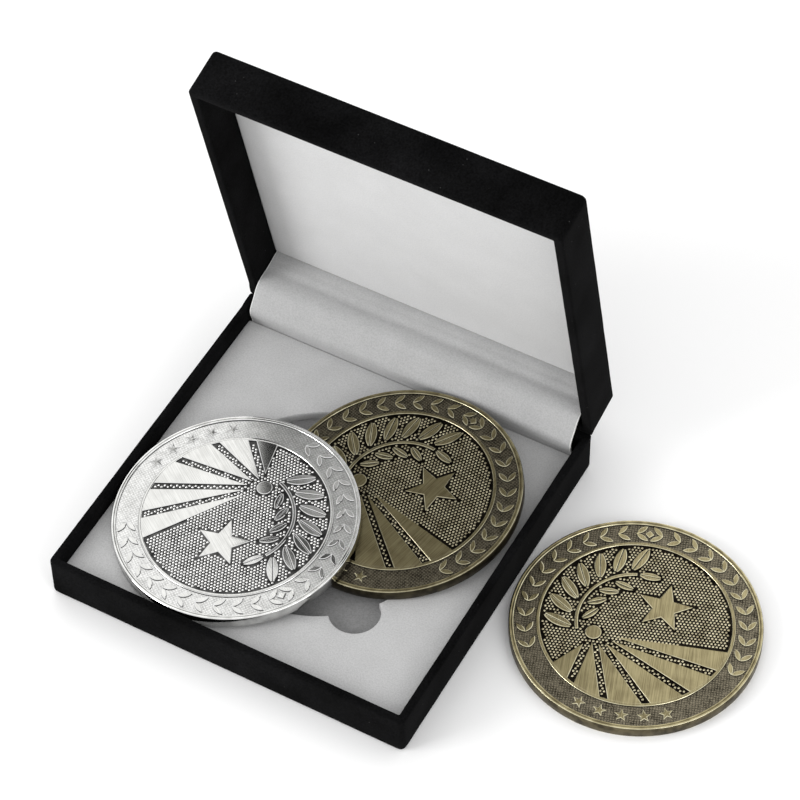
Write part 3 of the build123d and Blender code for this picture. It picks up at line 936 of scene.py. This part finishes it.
    def pad(self, draft: Draft, outline: list[Flat], flip: Matrix | None) -> None:
        """Adds one raised device with sloping walls and a bevelled arris coloured bright: a painted
        highlight, and on brass also rubbed metal.

        Args:
            draft: the mesh to add to.
            outline: the device's outline. A star's top rises in facets to its middle.
            flip: the turn to the back face, or None.
        """
        star = len(outline) == STAR_CORNERS
        top = self.level - (self.star_drop if star else self.device_drop)
        if area_of(outline) < 0:
            outline = outline[::-1]
        steps = [(-0.05, self.ground - 0.03), (0.0, top - 0.08), (0.17, top)]
        rows = []
        for depth, z in steps:
            drawn = inset(outline, depth) if depth else outline
            rows.append(draft.row([faced(Vector((x, y, z)), flip) for x, y in drawn]))
        draft.bridge(rows[0], rows[1], CoinPart.WALL.value)
        draft.bridge(rows[1], rows[2], CoinPart.ARRIS.value)
        draft.face(rows[0][::-1], CoinPart.WALL.value)
        if star:
            peak = sum((Vector((*p, 0)) for p in outline), Vector()) / STAR_CORNERS
            peak.z = self.level
            draft.fan(rows[2], faced(peak, flip), CoinPart.RAISED.value)
        else:
            draft.face(rows[2], CoinPart.RAISED.value)

    def pebbles(self, draft: Draft, shapes: list[list[Flat]], flip: Matrix | None) -> None:
        """Fills the field between the devices with small round pebbles in rows.

        Args:
            draft: the mesh to add to.
            shapes: the devices' outlines.
            flip: the turn to the back face, or None.
        """
        kept = [inset(s if area_of(s) > 0 else s[::-1], -self.pebble_clearance) for s in shapes]
        spans = [[(min(p[a] for p in s), max(p[a] for p in s)) for a in (0, 1)] for s in kept]
        reach = self.field_radius - self.pebble_radius - 0.1
        row_gap = self.pebble_pitch * math.sqrt(3) / 2
        count = int(reach / row_gap) + 1
        for j in range(-count, count + 1):
            shift = self.pebble_pitch / 2 if j % 2 else 0.0
            for i in range(-count - 4, count + 5):
                x, y = i * self.pebble_pitch + shift, j * row_gap
                if math.hypot(x, y) > reach:
                    continue
                near = [s for s, ((a, b), (c, d)) in zip(kept, spans) if a < x < b and c < y < d]
                if not any(inside((x, y), s) for s in near):
                    self.pebble(draft, x, y, flip)

    def pebble(self, draft: Draft, x: float, y: float, flip: Matrix | None) -> None:
        """Adds one low dome.

        Args:
            draft: the mesh to add to.
            x: its middle, across the coin.
            y: its middle, up the coin.
            flip: the turn to the back face, or None.
        """
        rows = []
        for share, rise in ((1.0, -0.02), (0.82, 0.55)):
            mid = Vector((x, y, self.ground + self.pebble_height * rise))
            turn = 360 / self.pebble_sides
            ring = [polar(self.pebble_radius * share, turn * k) for k in range(self.pebble_sides)]
            rows.append(draft.row([faced(Vector((mid.x + dx, mid.y + dy, mid.z)), flip) for dx, dy in ring]))
        # The dome's sides take the foot finish and its top the lighter crown finish: the crown is partly a
        # painted highlight, and on nickel the darker foot is painted shade.
        draft.bridge(rows[0], rows[1], 0)
        top = Vector((x, y, self.ground + self.pebble_height))
        draft.fan(rows[1], faced(top, flip), 1)

    def build(self) -> list[Object]:
        """Makes the coin's pieces and gives them to its body.

        Returns:
            The blank, its devices and its pebbles.
        """
        finishes = self.alloy.finishes(self.painted_shade_factor)
        flip = Matrix.Translation((0, 0, self.thickness)) @ Matrix.Rotation(math.pi, 4, "Y")
        blank, devices, pebbles = Draft(), Draft(), Draft()
        self.blank(blank)
        for shapes, turn in ((self.front_devices(), None), (self.back_devices(), flip)):
            for outline in shapes + self.band_devices():
                self.pad(devices, outline, turn)
            self.pebbles(pebbles, shapes, turn)
        stones = [finishes[CoinPart.PEBBLE_FOOT.value], finishes[CoinPart.PEBBLE.value]]
        made = [
            blank.build(f"{self.name}_blank", finishes[:6], self.place, 60.0),
            devices.build(f"{self.name}_devices", finishes[:6], self.place, 24.0),
            pebbles.build(f"{self.name}_pebbles", stones, self.place, 80.0),
        ]
        for piece in made:
            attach(piece, self.body)
        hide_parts(self.node)
        return made


def leaning(centre: Flat, toward: float, tilt: float, underside: float, turn: float) -> Matrix:
    """Where a coin lies.

    Args:
        centre: its middle, across and along the case.
        toward: the direction of its high side, in radians.
        tilt: how far it leans, in radians.
        underside: the height of its underside's middle.
        turn: how far its face is turned, in degrees.

    Returns:
        Its place, in millimetres.
    """
    return (
        Matrix.Translation((*centre, underside))
        @ Matrix.Rotation(toward, 4, "Z")
        @ Matrix.Rotation(-tilt, 4, "Y")
        @ Matrix.Rotation(-toward, 4, "Z")
        @ Matrix.Rotation(math.radians(turn), 4, "Z")
    )


# ---------------------------------------------------------------- case
@dataclass
class CaseSizes:
    """Sizes that the base and the lid share, in millimetres."""

    width: float = 101.6
    depth: float = 100.4
    base_height: float = 12.9
    lid_height: float = 13.0
    corner: float = 1.7
    rear_corner: float = 0.7
    velvet: float = 0.5
    hinge_spread: float = 60.0
    hinge_width: float = 16.0
    slot_gap: float = 0.3
    knuckle_reach: float = 1.18
    rest_angle: float = 77.4
    corner_steps: int = 7
    side_steps: int = 44
    hinge_zone: float = 5.0
    hinge_fade: float = 3.0

    @property
    def back(self) -> float:
        """The outer face of the back wall."""
        return self.depth / 2

    @property
    def top(self) -> float:
        """The top of the closed case."""
        return self.base_height + self.lid_height

    def opened(self) -> Matrix:
        """The turn from the closed lid to the lid as it stands open."""
        pin = Matrix.Translation((0, self.back, self.base_height))
        return pin @ Matrix.Rotation(math.radians(-self.rest_angle), 4, "X") @ pin.inverted()

    def slots(self, low: float, high: float, wall: float) -> list[tuple[Point, Point]]:
        """The cuts in a back wall that the hinges pass through.

        Args:
            low: the height where they start.
            high: the height where they end.
            wall: how thick the wall is.

        Returns:
            Each cut's two corners.
        """
        half = self.hinge_width / 2 + self.slot_gap
        near, far = self.back - wall - 1.5, self.back + 1.5
        middles = (-self.hinge_spread / 2, self.hinge_spread / 2)
        return [((m - half, near, low), (m + half, far, high)) for m in middles]

    def outline(self, drawn_in: float, least: float = 0.4) -> list[Flat]:
        """The case's outline, drawn in: round in front, tight at the hinge.

        Args:
            drawn_in: how far inside the case's own outline it lies.
            least: the least radius of a corner.

        Returns:
            Its points, always as many.
        """
        x, y = self.width / 2 - drawn_in, self.depth / 2 - drawn_in
        front, rear = max(self.corner - drawn_in, least), max(self.rear_corner - drawn_in, least)
        corners = ((x, -y, front), (x, y, rear), (-x, y, rear), (-x, -y, front))
        steps, sides = self.corner_steps, self.side_steps
        turned = [
            [
                (cx - math.copysign(r, cx) + dx, cy - math.copysign(r, cy) + dy)
                for dx, dy in (polar(r, 90 * k - 90 + 90 * n / steps) for n in range(steps + 1))
            ]
            for k, (cx, cy, r) in enumerate(corners)
        ]
        points = []
        for k, corner in enumerate(turned):
            start, end = corner[-1], turned[(k + 1) % 4][0]
            points += corner
            points += [tuple(a + (b - a) * n / sides for a, b in zip(start, end)) for n in range(1, sides)]
        return points

    def at_hinge(self, y: float) -> float:
        """How near a point is to the hinge side, from 0 to 1."""
        share = min(max((y - self.back + self.hinge_zone) / self.hinge_fade, 0.0), 1.0)
        return share * share * (3 - 2 * share)


def rounded(corner: Flat, start: Flat, end: Flat, steps: int = 5) -> list[Flat]:
    """A quarter-round in a profile.

    Args:
        corner: the sharp corner it bulges to.
        start: where it starts.
        end: where it ends.
        steps: the parts it is divided into.

    Returns:
        Its points, both ends included.
    """
    points = []
    for k in range(steps + 1):
        turn = math.pi / 2 * k / steps
        a, b = math.cos(turn), math.sin(turn)
        points.append(
            tuple(c + (s - c) * (1 - b) + (e - c) * (1 - a) for c, s, e in zip(corner, start, end))
        )
    return points


@dataclass
class VelvetCover:
    """The flocked cover of one half of the case: round the outside, over the rim and down inside."""

    sizes: CaseSizes
    wall: float
    rim_round: float = 0.72
    hinge_round: float = 0.03
    hinge_lip: float = 0.07
    edge_round: float = 1.5
    swell: float = 0.05
    seed: float = 3.1

    def skin(self, draft: Draft, profile: list[Flat], rear: list[Flat], outer: int) -> list[list[int]]:
        """Sweeps a profile of (drawn in, height) round the case's outline.

        Args:
            draft: the mesh to add to.
            profile: the points, in order.
            rear: the same points as they are along the hinge.
            outer: how many of them, from the first, lie on the flocked side and may swell.

        Returns:
            The rows of points.
        """
        rows = []
        for k, ((front_in, front_z), (rear_in, rear_z)) in enumerate(zip(profile, rear)):
            row = []
            for one, two in zip(self.sizes.outline(front_in), self.sizes.outline(rear_in)):
                share = self.sizes.at_hinge(one[1])
                x, y = (a + (b - a) * share for a, b in zip(one, two))
                z = front_z + (rear_z - front_z) * share
                if k < outer:
                    away = Vector((x / self.sizes.width, y / self.sizes.depth, 0)) * 2 * (1 - share)
                    wide, fine = (uneven((x, y, z), size, self.seed) for size in (9.0, 2.4))
                    lift = self.swell * (wide + 0.5 * fine)
                    x, y = x + away.x * lift, y + away.y * lift
                row.append((x, y, z))
            rows.append(draft.row(row))
        return rows


@dataclass
class BaseCover(VelvetCover):
    """The base's cover, turned in under the floor round a closing sheet."""

    turn_in: float = 9.0
    lining_end: float = 3.7

    def profile(self, rim: float, lip: float) -> tuple[list[Flat], int]:
        """The cover's section, closed.

        Args:
            rim: how far the rim's outer edge is rounded.
            lip: how far it stands out.

        Returns:
            Its points, and how many of them lie on the flocked side.
        """
        w, h, v = self.wall, self.sizes.base_height, self.sizes.velvet
        e, r = self.edge_round, self.rim_round
        face = [(self.turn_in, 0.0), (5.0, 0.0)]
        face += rounded((0, 0), (e, 0), (0, e))
        face += [(0.0, z) for z in (4.0, 6.5, 9.0, 11.0)]
        face += rounded((-lip, h), (-lip, h - rim), (rim - lip, h))
        face += rounded((w, h), (w - r, h), (w, h - r))
        face += [(w, z) for z in (10.5, 8.5, 6.0, self.lining_end)]
        back = [(w - v, self.lining_end), (w - v, h - v), (v, h - v), (v, v), (self.turn_in, v)]
        return face + back, len(face)

    def build(self, velvet: Material) -> Object:
        """Makes the cover and gives it to the base.

        Args:
            velvet: its material.

        Returns:
            The cover.
        """
        draft = Draft()
        profile, outer = self.profile(self.rim_round, 0.0)
        rows = self.skin(draft, profile, self.profile(self.hinge_round, self.hinge_lip)[0], outer)
        for k, row in enumerate(rows):
            draft.bridge(row, rows[(k + 1) % len(rows)])
        made = draft.build("base_cover", [velvet])
        h, reach = self.sizes.base_height, self.sizes.knuckle_reach
        cut_slots(made, self.sizes.slots(h - reach, h + 1.0, self.wall))
        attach(made, "base")
        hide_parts("base_velvet")
        return made


@dataclass
class LidCover(VelvetCover):
    """The lid's cover: all of its top, its sides, its rim and its inner walls."""

    lining_reach: float = 10.9
    rings: tuple[float, ...] = (3.0, 7.0, 12.0, 18.0, 25.0, 32.0, 39.0, 45.0, 48.8)

    def profile(self, rim: float, lip: float) -> tuple[list[Flat], int]:
        """The cover's section, from the middle of its top over the rim and back under it.

        Args:
            rim: how far the rim's outer edge is rounded.
            lip: how far it stands out.

        Returns:
            Its points, and how many of them lie on the flocked side.
        """
        low, top = self.sizes.base_height, self.sizes.top
        w, v, e, r = self.wall, self.sizes.velvet, self.edge_round, self.rim_round
        face = [(d, top) for d in reversed(self.rings)]
        face += rounded((0, top), (e, top), (0, top - e))
        face += [(0.0, low + z) for z in (9.0, 6.5, 4.0, 2.0)]
        face += rounded((-lip, low), (-lip, low + rim), (rim - lip, low))
        face += rounded((w, low), (w - r, low), (w, low + r))
        face += [(w, low + z) for z in (2.5, 5.0, 8.0, self.lining_reach)]
        back = [(w - v, low + self.lining_reach), (w - v, low + v), (v, low + v), (v, top - v)]
        back += [(d, top - v) for d in self.rings]
        return face + back, len(face)

    def build(self, velvet: Material) -> Object:
        """Makes the cover and gives it to the lid.

        Args:
            velvet: its material.

        Returns:
            The cover.
        """
        low = self.sizes.base_height
        draft = Draft()
        profile, outer = self.profile(self.rim_round, 0.0)
        rows = self.skin(draft, profile, self.profile(self.hinge_round, self.hinge_lip)[0], outer)
        draft.stack(rows)
        draft.face(rows[0])
        draft.face(rows[-1][::-1])
        made = draft.build("lid_cover", [velvet], self.sizes.opened())
        cut_slots(made, self.sizes.slots(low - 1.0, low + self.sizes.knuckle_reach, self.wall))
        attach(made, "lid")
        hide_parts("lid_velvet")
        return made


def rectangle(width: float, front: float, back: float, radius: float, step: float = 1.6) -> list[Flat]:
    """A rectangle across the case with rounded corners.

    Args:
        width: across the case.
        front: where its front edge lies.
        back: where its back edge lies.
        radius: the corners' radius.
        step: about how far apart the points along its sides are.

    Returns:
        Its outline, anticlockwise.
    """
    x = width / 2
    points = []
    corners = ((x, front), (x, back), (-x, back), (-x, front))
    middles = [
        (cx - math.copysign(radius, cx), cy + (radius if cy == front else -radius)) for cx, cy in corners
    ]
    for k, (mx, my) in enumerate(middles):
        turned = [polar(radius, 90 * k - 90 + 90 * n / 4) for n in range(5)]
        points += [(mx + dx, my + dy) for dx, dy in turned]
        nx, ny = middles[(k + 1) % 4]
        dx, dy = polar(radius, 90 * k)
        start, end = points[-1], (nx + dx, ny + dy)
        count = max(int(math.dist(start, end) / step), 1)
        points += [tuple(a + (b - a) * n / count for a, b in zip(start, end)) for n in range(1, count)]
    return points


def fill(
    draft: Draft, outer: list[int], holes: list[list[int]], z: float, step: float, rough: float
) -> None:
    """Fills between rows of points at one level with an even net of triangles.

    Args:
        draft: the mesh that holds the rows.
        outer: the row round the outside.
        holes: rows round the openings.
        z: the level.
        step: how far apart the new points are.
        rough: how far they rise and sink at random.
    """
    loops = [outer, *holes]
    ids = [i for loop in loops for i in loop]
    flat = [draft.points[i][:2] for i in ids]
    shapes, start = [], 0
    edges = []
    for loop in loops:
        count = len(loop)
        shapes.append(flat[start : start + count])
        edges += [(start + k, start + (k + 1) % count) for k in range(count)]
        start += count
    xs, ys = [p[0] for p in shapes[0]], [p[1] for p in shapes[0]]
    extra = []
    for j in range(int((max(ys) - min(ys)) / step) + 1):
        for i in range(int((max(xs) - min(xs)) / step) + 1):
            p = (min(xs) + step * (i + (0.75 if j % 2 else 0.25)), min(ys) + step * (j + 0.5))
            if not inside(p, shapes[0]) or any(inside(p, s) for s in shapes[1:]):
                continue
            if min(math.dist(p, q) for q in flat) > step * 0.55:
                extra.append(p)
    lifted = [(x, y, z + rough * uneven((x, y, z), 11.0, 5.0)) for x, y in extra]
    ids += draft.row(lifted)
    flat += extra
    net = delaunay_2d_cdt([Vector(p) for p in flat], edges, [], 0, 1e-5)
    points, triangles, sources = net[0], net[2], net[3]
    for triangle in triangles:
        middle = tuple(sum(points[i][a] for i in triangle) / 3 for a in (0, 1))
        if inside(middle, shapes[0]) and not any(inside(middle, s) for s in shapes[1:]):
            draft.face([ids[sources[i][0]] for i in triangle])


@dataclass
class Insert:
    """The tray's velour insert, with the die-cut coin recess and its thumb notch."""

    sizes: CaseSizes
    width: float = 96.9
    front: float = -47.85
    back: float = 45.0
    top: float = 8.7
    floor: float = 6.3
    recess_radius: float = 32.1
    notch_radius: float = 6.6
    notch_angle: float = -45.0
    edge_round: float = 0.55
    recess_steps: int = 150
    notch_steps: int = 26

    def recess(self) -> list[Flat]:
        """The shape that is cut for the coin and the thumb.

        Returns:
            Its outline, anticlockwise.
        """
        middle = (0.0, (self.front + self.back) / 2)
        big, small = self.recess_radius, self.notch_radius
        half = math.degrees(math.acos(1 - small * small / (2 * big * big)))
        start, end = self.notch_angle + half, self.notch_angle - half + 360
        turns = self.recess_steps
        main = [polar(big, start + (end - start) * k / turns) for k in range(turns + 1)]
        cx, cy = polar(big, self.notch_angle)
        first = math.degrees(math.atan2(main[-1][1] - cy, main[-1][0] - cx))
        last = math.degrees(math.atan2(main[0][1] - cy, main[0][0] - cx))
        last += 360 if last < first else 0
        turns = self.notch_steps
        notch = [polar(small, first + (last - first) * k / turns) for k in range(1, turns)]
        points = main + [(cx + x, cy + y) for x, y in notch]
        return [(middle[0] + x, middle[1] + y) for x, y in points]

    def build(self, velour: Material, recess_velour: Material) -> list[Object]:
        """Makes the velour top and the recess floor, and gives them to the base.

        Args:
            velour: the top's material.
            recess_velour: the recess floor's material, darkened with painted shade for the recess.

        Returns:
            The top and the floor.
        """
        draft = Draft()
        e, top = self.edge_round, self.top
        rim = rectangle(self.width, self.front, self.back, 0.7)
        turned = [
            (0.0, self.floor),
            (0.0, top - e),
            (0.1, top - 0.5 * e),
            (0.3 * e + 0.06, top - 0.16 * e),
            (e, top),
        ]
        rows = [draft.level(inset(rim, d), z) for d, z in turned]
        draft.stack(rows)
        hole = self.recess()
        walls = [draft.level(inset(hole, -d), z) for d, z in turned]
        for low, high in zip(walls, walls[1:]):
            draft.bridge(high, low)
        fill(draft, rows[-1], [walls[-1]], top, 2.4, 0.05)
        skin = draft.build("insert_velour_top", [velour])
        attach(skin, "base")
        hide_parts("insert_velour")
        height = top - self.floor
        used = self.width * (self.back - self.front) - abs(area_of(hole))
        used += 2 * (self.width + self.back - self.front) * height + math.tau * self.recess_radius * height
        floor = Draft()
        low = self.floor - 0.02
        edge = floor.level(rectangle(self.width, self.front, self.back, 0.6), low)
        fill(floor, edge, [], low, 2.0, 0.05)
        ground = floor.build("recess_velour_floor", [recess_velour])
        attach(ground, "base")
        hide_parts("recess_velour")
        return [skin, ground]


@dataclass
class LidLining:
    """The velour panel inside the lid, its cloth turned round the board's edges."""

    sizes: CaseSizes
    width: float = 96.0
    front: float = -47.4
    back: float = 42.8
    level: float = 23.5
    depth: float = 0.85
    edge_round: float = 0.75

    def build(self, velour: Material) -> Object:
        """Makes the panel and gives it to the lid.

        Args:
            velour: its material.

        Returns:
            The panel.
        """
        draft = Draft()
        e = self.edge_round
        edge = rectangle(self.width, self.front, self.back, self.edge_round + 0.25)
        steps = [
            (0.0, self.level + self.depth),
            (0.0, self.level + e),
            (0.1, self.level + 0.4 * e),
            (e * 0.5, self.level + 0.1 * e),
            (e, self.level),
        ]
        rows = [draft.level(inset(edge, d), z) for d, z in steps]
        draft.stack(rows)
        fill(draft, rows[-1], [], self.level, 2.4, 0.04)
        made = draft.build("lid_velour_panel", [velour], self.sizes.opened())
        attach(made, "lid")
        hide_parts("lid_velour")
        return made


@dataclass
class HingeStrip:
    """The velour strip that hides the hinges, from the insert's back edge up to the lid's lining."""

    sizes: CaseSizes
    width: float = 95.2
    thickness: float = 0.5
    root: float = 45.35
    insert_top: float = 8.7
    tuck: float = 5.2
    bulge: float = 0.75
    along: float = 7.05
    depth: float = 10.6
    lap: float = 0.45
    ripple: float = 0.1
    fold_depth: float = 0.5
    hem: float = 0.2
    steps: int = 12
    columns: int = 64

    def in_lid(self, along: float, deep: float) -> Flat:
        """Where a point of the open lid stands.

        Args:
            along: how far along the lid, from the hinge.
            deep: how far into the lid, from its rim.

        Returns:
            Its place along the case and its height.
        """
        turn = math.radians(self.sizes.rest_angle)
        y = self.sizes.back - along * math.cos(turn) + deep * math.sin(turn)
        z = self.sizes.base_height + along * math.sin(turn) + deep * math.cos(turn)
        return (y, z)

    def centreline(self) -> list[Flat]:
        """The strip's middle line, from its tucked foot to the corner of the lining.

        Returns:
            Its points, along the case and up.
        """
        crest = self.sizes.base_height + 0.2
        knots = [
            (self.root, self.insert_top),
            (self.root - self.bulge, (self.insert_top + crest) / 2 + 0.6),
            (self.root - self.bulge, crest + 0.8),
            (self.root + 1.1, crest + 3.4),
            self.in_lid(self.along - 0.2, 0.3),
            self.in_lid(self.along, self.depth * 0.5),
            self.in_lid(self.along + 0.06, self.depth + self.lap),
        ]
        turn = math.radians(self.sizes.rest_angle)
        ways = [((c[0] - a[0]) / 2, (c[1] - a[1]) / 2) for a, c in zip(knots, knots[2:])]
        ways = [(0.0, 2.8)] + ways + [(4.6 * math.sin(turn), 4.6 * math.cos(turn))]
        line = [(self.root, self.insert_top - self.tuck * (1 - k / 4)) for k in range(4)]
        for (p, q), (a, b) in zip(zip(knots, knots[1:]), zip(ways, ways[1:])):
            for n in range(self.steps):
                t = n / self.steps
                h = (2 * t**3 - 3 * t**2 + 1, t**3 - 2 * t**2 + t, -2 * t**3 + 3 * t**2, t**3 - t**2)
                line.append(tuple(h[0] * p[i] + h[1] * a[i] + h[2] * q[i] + h[3] * b[i] for i in (0, 1)))
        return line + [knots[-1]]

    def fold(self, x: float, below: float) -> float:
        """How far two soft valleys, below the lining's edge, sink the strip.

        Args:
            x: the place across it.
            below: how far below the lining's edge.

        Returns:
            The depth.
        """
        deepens = 0.45 + 0.55 * min(max((x + self.width / 2) / 50.0, 0.0), 1.0)
        wander = 0.5 * uneven((x, 0.0, 0.0), 24.0, 4.0)
        valleys = ((2.6, 0.8), (5.2, 1.5))
        near, far = (math.exp(-(((below - low - wander) / wide) ** 2)) for low, wide in valleys)
        return self.fold_depth * deepens * (0.3 * near + far)

    def build(self, velour: Material, edge_painted_highlight: Material) -> Object:
        """Makes the strip, curved from the base up into the lid.

        Args:
            velour: its material.
            edge_painted_highlight: the material of its raw edges, lighter than the velour: a painted
                highlight.

        Returns:
            The strip.
        """
        line = self.centreline()
        steps = [math.dist(a, b) for a, b in zip(line, line[1:])]
        half = self.width / 2
        between = self.width - 2 * self.hem
        inner = [-half + self.hem + between * i / self.columns for i in range(self.columns + 1)]
        places = [-half, *inner, half]
        across = len(places) - 1
        draft = Draft()
        layers = []
        for side in (-1, 1):
            rows = []
            for k, (y, z) in enumerate(line):
                a, b = line[max(k - 1, 0)], line[min(k + 1, len(line) - 1)]
                dy, dz = b[0] - a[0], b[1] - a[1]
                size = math.hypot(dy, dz)
                ny, nz = -dz / size, dy / size
                share = max(k - 4, 0) / (len(line) - 5)
                slack = self.ripple * math.sin(math.pi * share) ** 0.7
                below = sum(steps[k:]) - self.lap
                row = []
                for x in places:
                    off = side * self.thickness / 2 - self.fold(x, below)
                    wide, fine = uneven((x, y * 0.4, z * 0.4), 13.0, 8.0), uneven((x, y, z), 4.0, 2.0)
                    off += slack * (wide + 0.4 * fine)
                    row.append((x, y + ny * off, z + nz * off))
                rows.append(draft.row(row))
            layers.append(rows)
        front, rear = layers
        for rows in layers:
            for low, high in zip(rows, rows[1:]):
                for i in range(across):
                    # The narrow columns at both ends, and the strip's edges, take the lighter edge velour: a
                    # painted highlight on the turned ends.
                    draft.face([low[i], low[i + 1], high[i + 1], high[i]], int(i in (0, across - 1)))
        for k in range(len(line) - 1):
            for i in (0, across):
                draft.face([front[k][i], front[k + 1][i], rear[k + 1][i], rear[k][i]], 1)
        for k in (0, len(line) - 1):
            draft.bridge(front[k], rear[k], 1, closed=False)
        made = draft.build("hinge_strip_cloth", [velour, edge_painted_highlight], None, 50.0)
        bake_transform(made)
        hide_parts("hinge_strip")
        return made


# ---------------------------------------------------------------- studio
@dataclass
class Studio:
    """A pale floor, soft light and the camera."""

    lens: float = 154.47
    eye: Point = (277.93, -445.74, 707.89)
    yaw: float = 30.825
    pitch: float = 50.302
    roll: float = -1.894
    shift: Flat = (0.0521, -0.0758)
    floor_cells: int = 16
    floor_cell: float = 250.0
    sky: str = "f2f2f2"
    sky_strength: float = 0.95
    # Each lamp: its name, place and aim in metres, its side in metres and its power in watts.
    lamps: tuple[tuple[str, Point, Point, float, float], ...] = (
        ("overhead", (-0.55, 0.85, 1.2), (0.03, 0.0, 0.0), 1.3, 3.7),
        ("front", (-0.85, -0.85, 0.5), (0.0, 0.0, 0.04), 0.6, 8.8),
        ("side", (1.0, -0.4, 0.6), (0.03, 0.0, 0.02), 0.6, 3.0),
    )

    def camera(self) -> None:
        """Sets the camera on the case."""
        yaw, pitch, roll = (math.radians(a) for a in (self.yaw, self.pitch, self.roll))
        back = Vector((math.sin(yaw) * math.cos(pitch), -math.cos(yaw) * math.cos(pitch), math.sin(pitch)))
        right = Vector((math.cos(yaw), math.sin(yaw), 0))
        up = back.cross(right)
        across = right * math.cos(roll) + up * math.sin(roll)
        upward = up * math.cos(roll) - right * math.sin(roll)
        data = bpy.data.cameras.new("camera")
        data.lens = self.lens
        data.sensor_width = 36.0
        data.shift_x, data.shift_y = self.shift
        data.clip_end = 20.0
        made = bpy.data.objects.new("camera", data)
        turn = Matrix((across, upward, back)).transposed().to_4x4()
        made.matrix_world = Matrix.Translation(Vector(self.eye) * MM) @ turn
        bpy.context.scene.collection.objects.link(made)
        bpy.context.scene.camera = made

    def lamp(self, name: str, place: Point, aim: Point, size: float, power: float) -> None:
        """Adds one square soft lamp.

        Args:
            name: its name.
            place: where it hangs, in metres.
            aim: the point it faces.
            size: its side, in metres.
            power: its power, in watts.
        """
        data = bpy.data.lights.new(name, "AREA")
        data.size = size
        data.energy = power
        made = bpy.data.objects.new(name, data)
        made.location = place
        made.rotation_euler = (Vector(aim) - Vector(place)).to_track_quat("-Z", "Y").to_euler()
        bpy.context.scene.collection.objects.link(made)

    def build(self) -> None:
        """Makes the floor, the lights and the camera."""
        floor = Draft()
        half = self.floor_cells // 2
        lines = [k * self.floor_cell for k in range(-half, half + 1)]
        floor.stack([floor.level([(x, y) for x in lines], -0.05) for y in lines], closed=False)
        floor.build("floor", [StudioPaper().build()])
        world = bpy.data.worlds.new("studio")
        world.use_nodes = True
        sky = world.node_tree.nodes["Background"].inputs
        sky["Color"].default_value = linear(self.sky)
        sky["Strength"].default_value = self.sky_strength
        bpy.context.scene.world = world
        for lamp in self.lamps:
            self.lamp(*lamp)
        bpy.context.scene.view_settings.view_transform = "Standard"
        self.camera()


@dataclass
class Hardware:
    """The CAD nodes that keep their shape and get the finish of the real part."""

    sides: tuple[str, ...] = ("left", "right")

    def build(self) -> None:
        """Gives each node its material."""
        leaves = [f"hinge_{side}_{half}_leaf" for side in self.sides for half in ("base", "lid")]
        worn = [
            (MouldedAbs(), ["base_shell", "lid_shell"]),
            (PressedFibre("calendered_black_paper", "262627", "121213", 0.35), ["base_sheet"]),
            (PressedFibre("pressed_greyboard", "b9b2a6", "7d766b", 0.4), ["insert_board", "lid_board"]),
            (
                PressedFibre("cut_polyurethane_foam", "f0efe9", "c9c7be", 0.5, 0.95),
                ["insert_foam_lower", "insert_foam_upper"],
            ),
            (BurnishedMetal("nickel_plated_spring_steel", "c8c8c6", "a2a2a0", 0.3), leaves),
            (
                BurnishedMetal("drawn_steel_wire", "cfcfd1", "a9a9ab", 0.22),
                [f"hinge_{side}_pin" for side in self.sides],
            ),
            (BurnishedMetal("headed_steel_rivet", "bdbdbb", "8f8f8d", 0.34), ["base_rivets", "lid_rivets"]),
        ]
        for finish, names in worn:
            material = finish.build()
            for name in names:
                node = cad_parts[name]
                for place in node.material_slots:
                    place.material = material
                if not node.material_slots:
                    node.data.materials.append(material)
                LOG.info("%s wears %s", name, material.name)


def main() -> None:
    """Builds every piece in order and reports it."""
    logging.basicConfig(level=logging.INFO, format="%(message)s")
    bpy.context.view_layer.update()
    sizes = CaseSizes()
    Studio().build()
    velvet = FlockedVelvet().build()
    insert_cloth = BrushedVelour("brushed_velour_insert", "c5c5c5", "afafaf").build()
    # The lid's panel and the hinge strip are the insert's velour in a lighter and a darker copy: painted
    # light on the panel and painted shade on the strip.
    lid_cloth_painted_light = BrushedVelour("brushed_velour_lid_painted_light", "d0d0d0", "c4c4c4").build()
    strip_cloth_painted_shade = BrushedVelour("brushed_velour_strip_painted_shade", "b8b8b8", "a2a2a2").build()
    # The recess floor's velour is darker than the insert's: painted shade in the recess.
    recess_cloth_painted_shade = BrushedVelour("brushed_velour_recess_painted_shade", "8c8c8c", "767676").build()
    # The edge velour is lighter than the strip: a painted highlight along its cut ends.
    edge_painted_highlight = BrushedVelour("cut_velour_edge_painted_highlight", "e8e8e6", "d4d4d2").build()
    Hardware().build()
    pieces = [
        BaseCover(sizes, wall=2.25).build(velvet),
        LidCover(sizes, wall=2.7, edge_round=1.0, seed=6.4).build(velvet),
        *Insert(sizes).build(insert_cloth, recess_cloth_painted_shade),
        LidLining(sizes).build(lid_cloth_painted_light),
        HingeStrip(sizes).build(strip_cloth_painted_shade, edge_painted_highlight),
        # The coin in the case takes painted shade: its colours are darkened for the open lid's shadow over
        # it.
        *Coin(
            "lower_coin",
            "coin_bronze",
            "lower_coin",
            Alloy.ANTIQUE_BRASS,
            leaning((15.9, 11.8), 0.69381, 0.109859, 9.811, -15.0),
            painted_shade_factor=0.62,
        ).build(),
        *Coin(
            "upper_coin",
            "coin_silver",
            "upper_coin",
            Alloy.POLISHED_NICKEL,
            leaning((-16.25, -15.65), 0.70670, 0.049882, 10.3431, -125.0),
        ).build(),
        *Coin(
            "loose_coin",
            "coin_table",
            "loose_coin",
            Alloy.ANTIQUE_BRASS,
            leaning((84.0, 9.6), 0.0, 0.0, 0.0, 19.0),
        ).build(),
    ]
    for piece in pieces:
        LOG.info("%s: %d faces", piece.name, len(piece.data.polygons))
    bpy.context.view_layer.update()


if __name__ == "__main__":
    main()
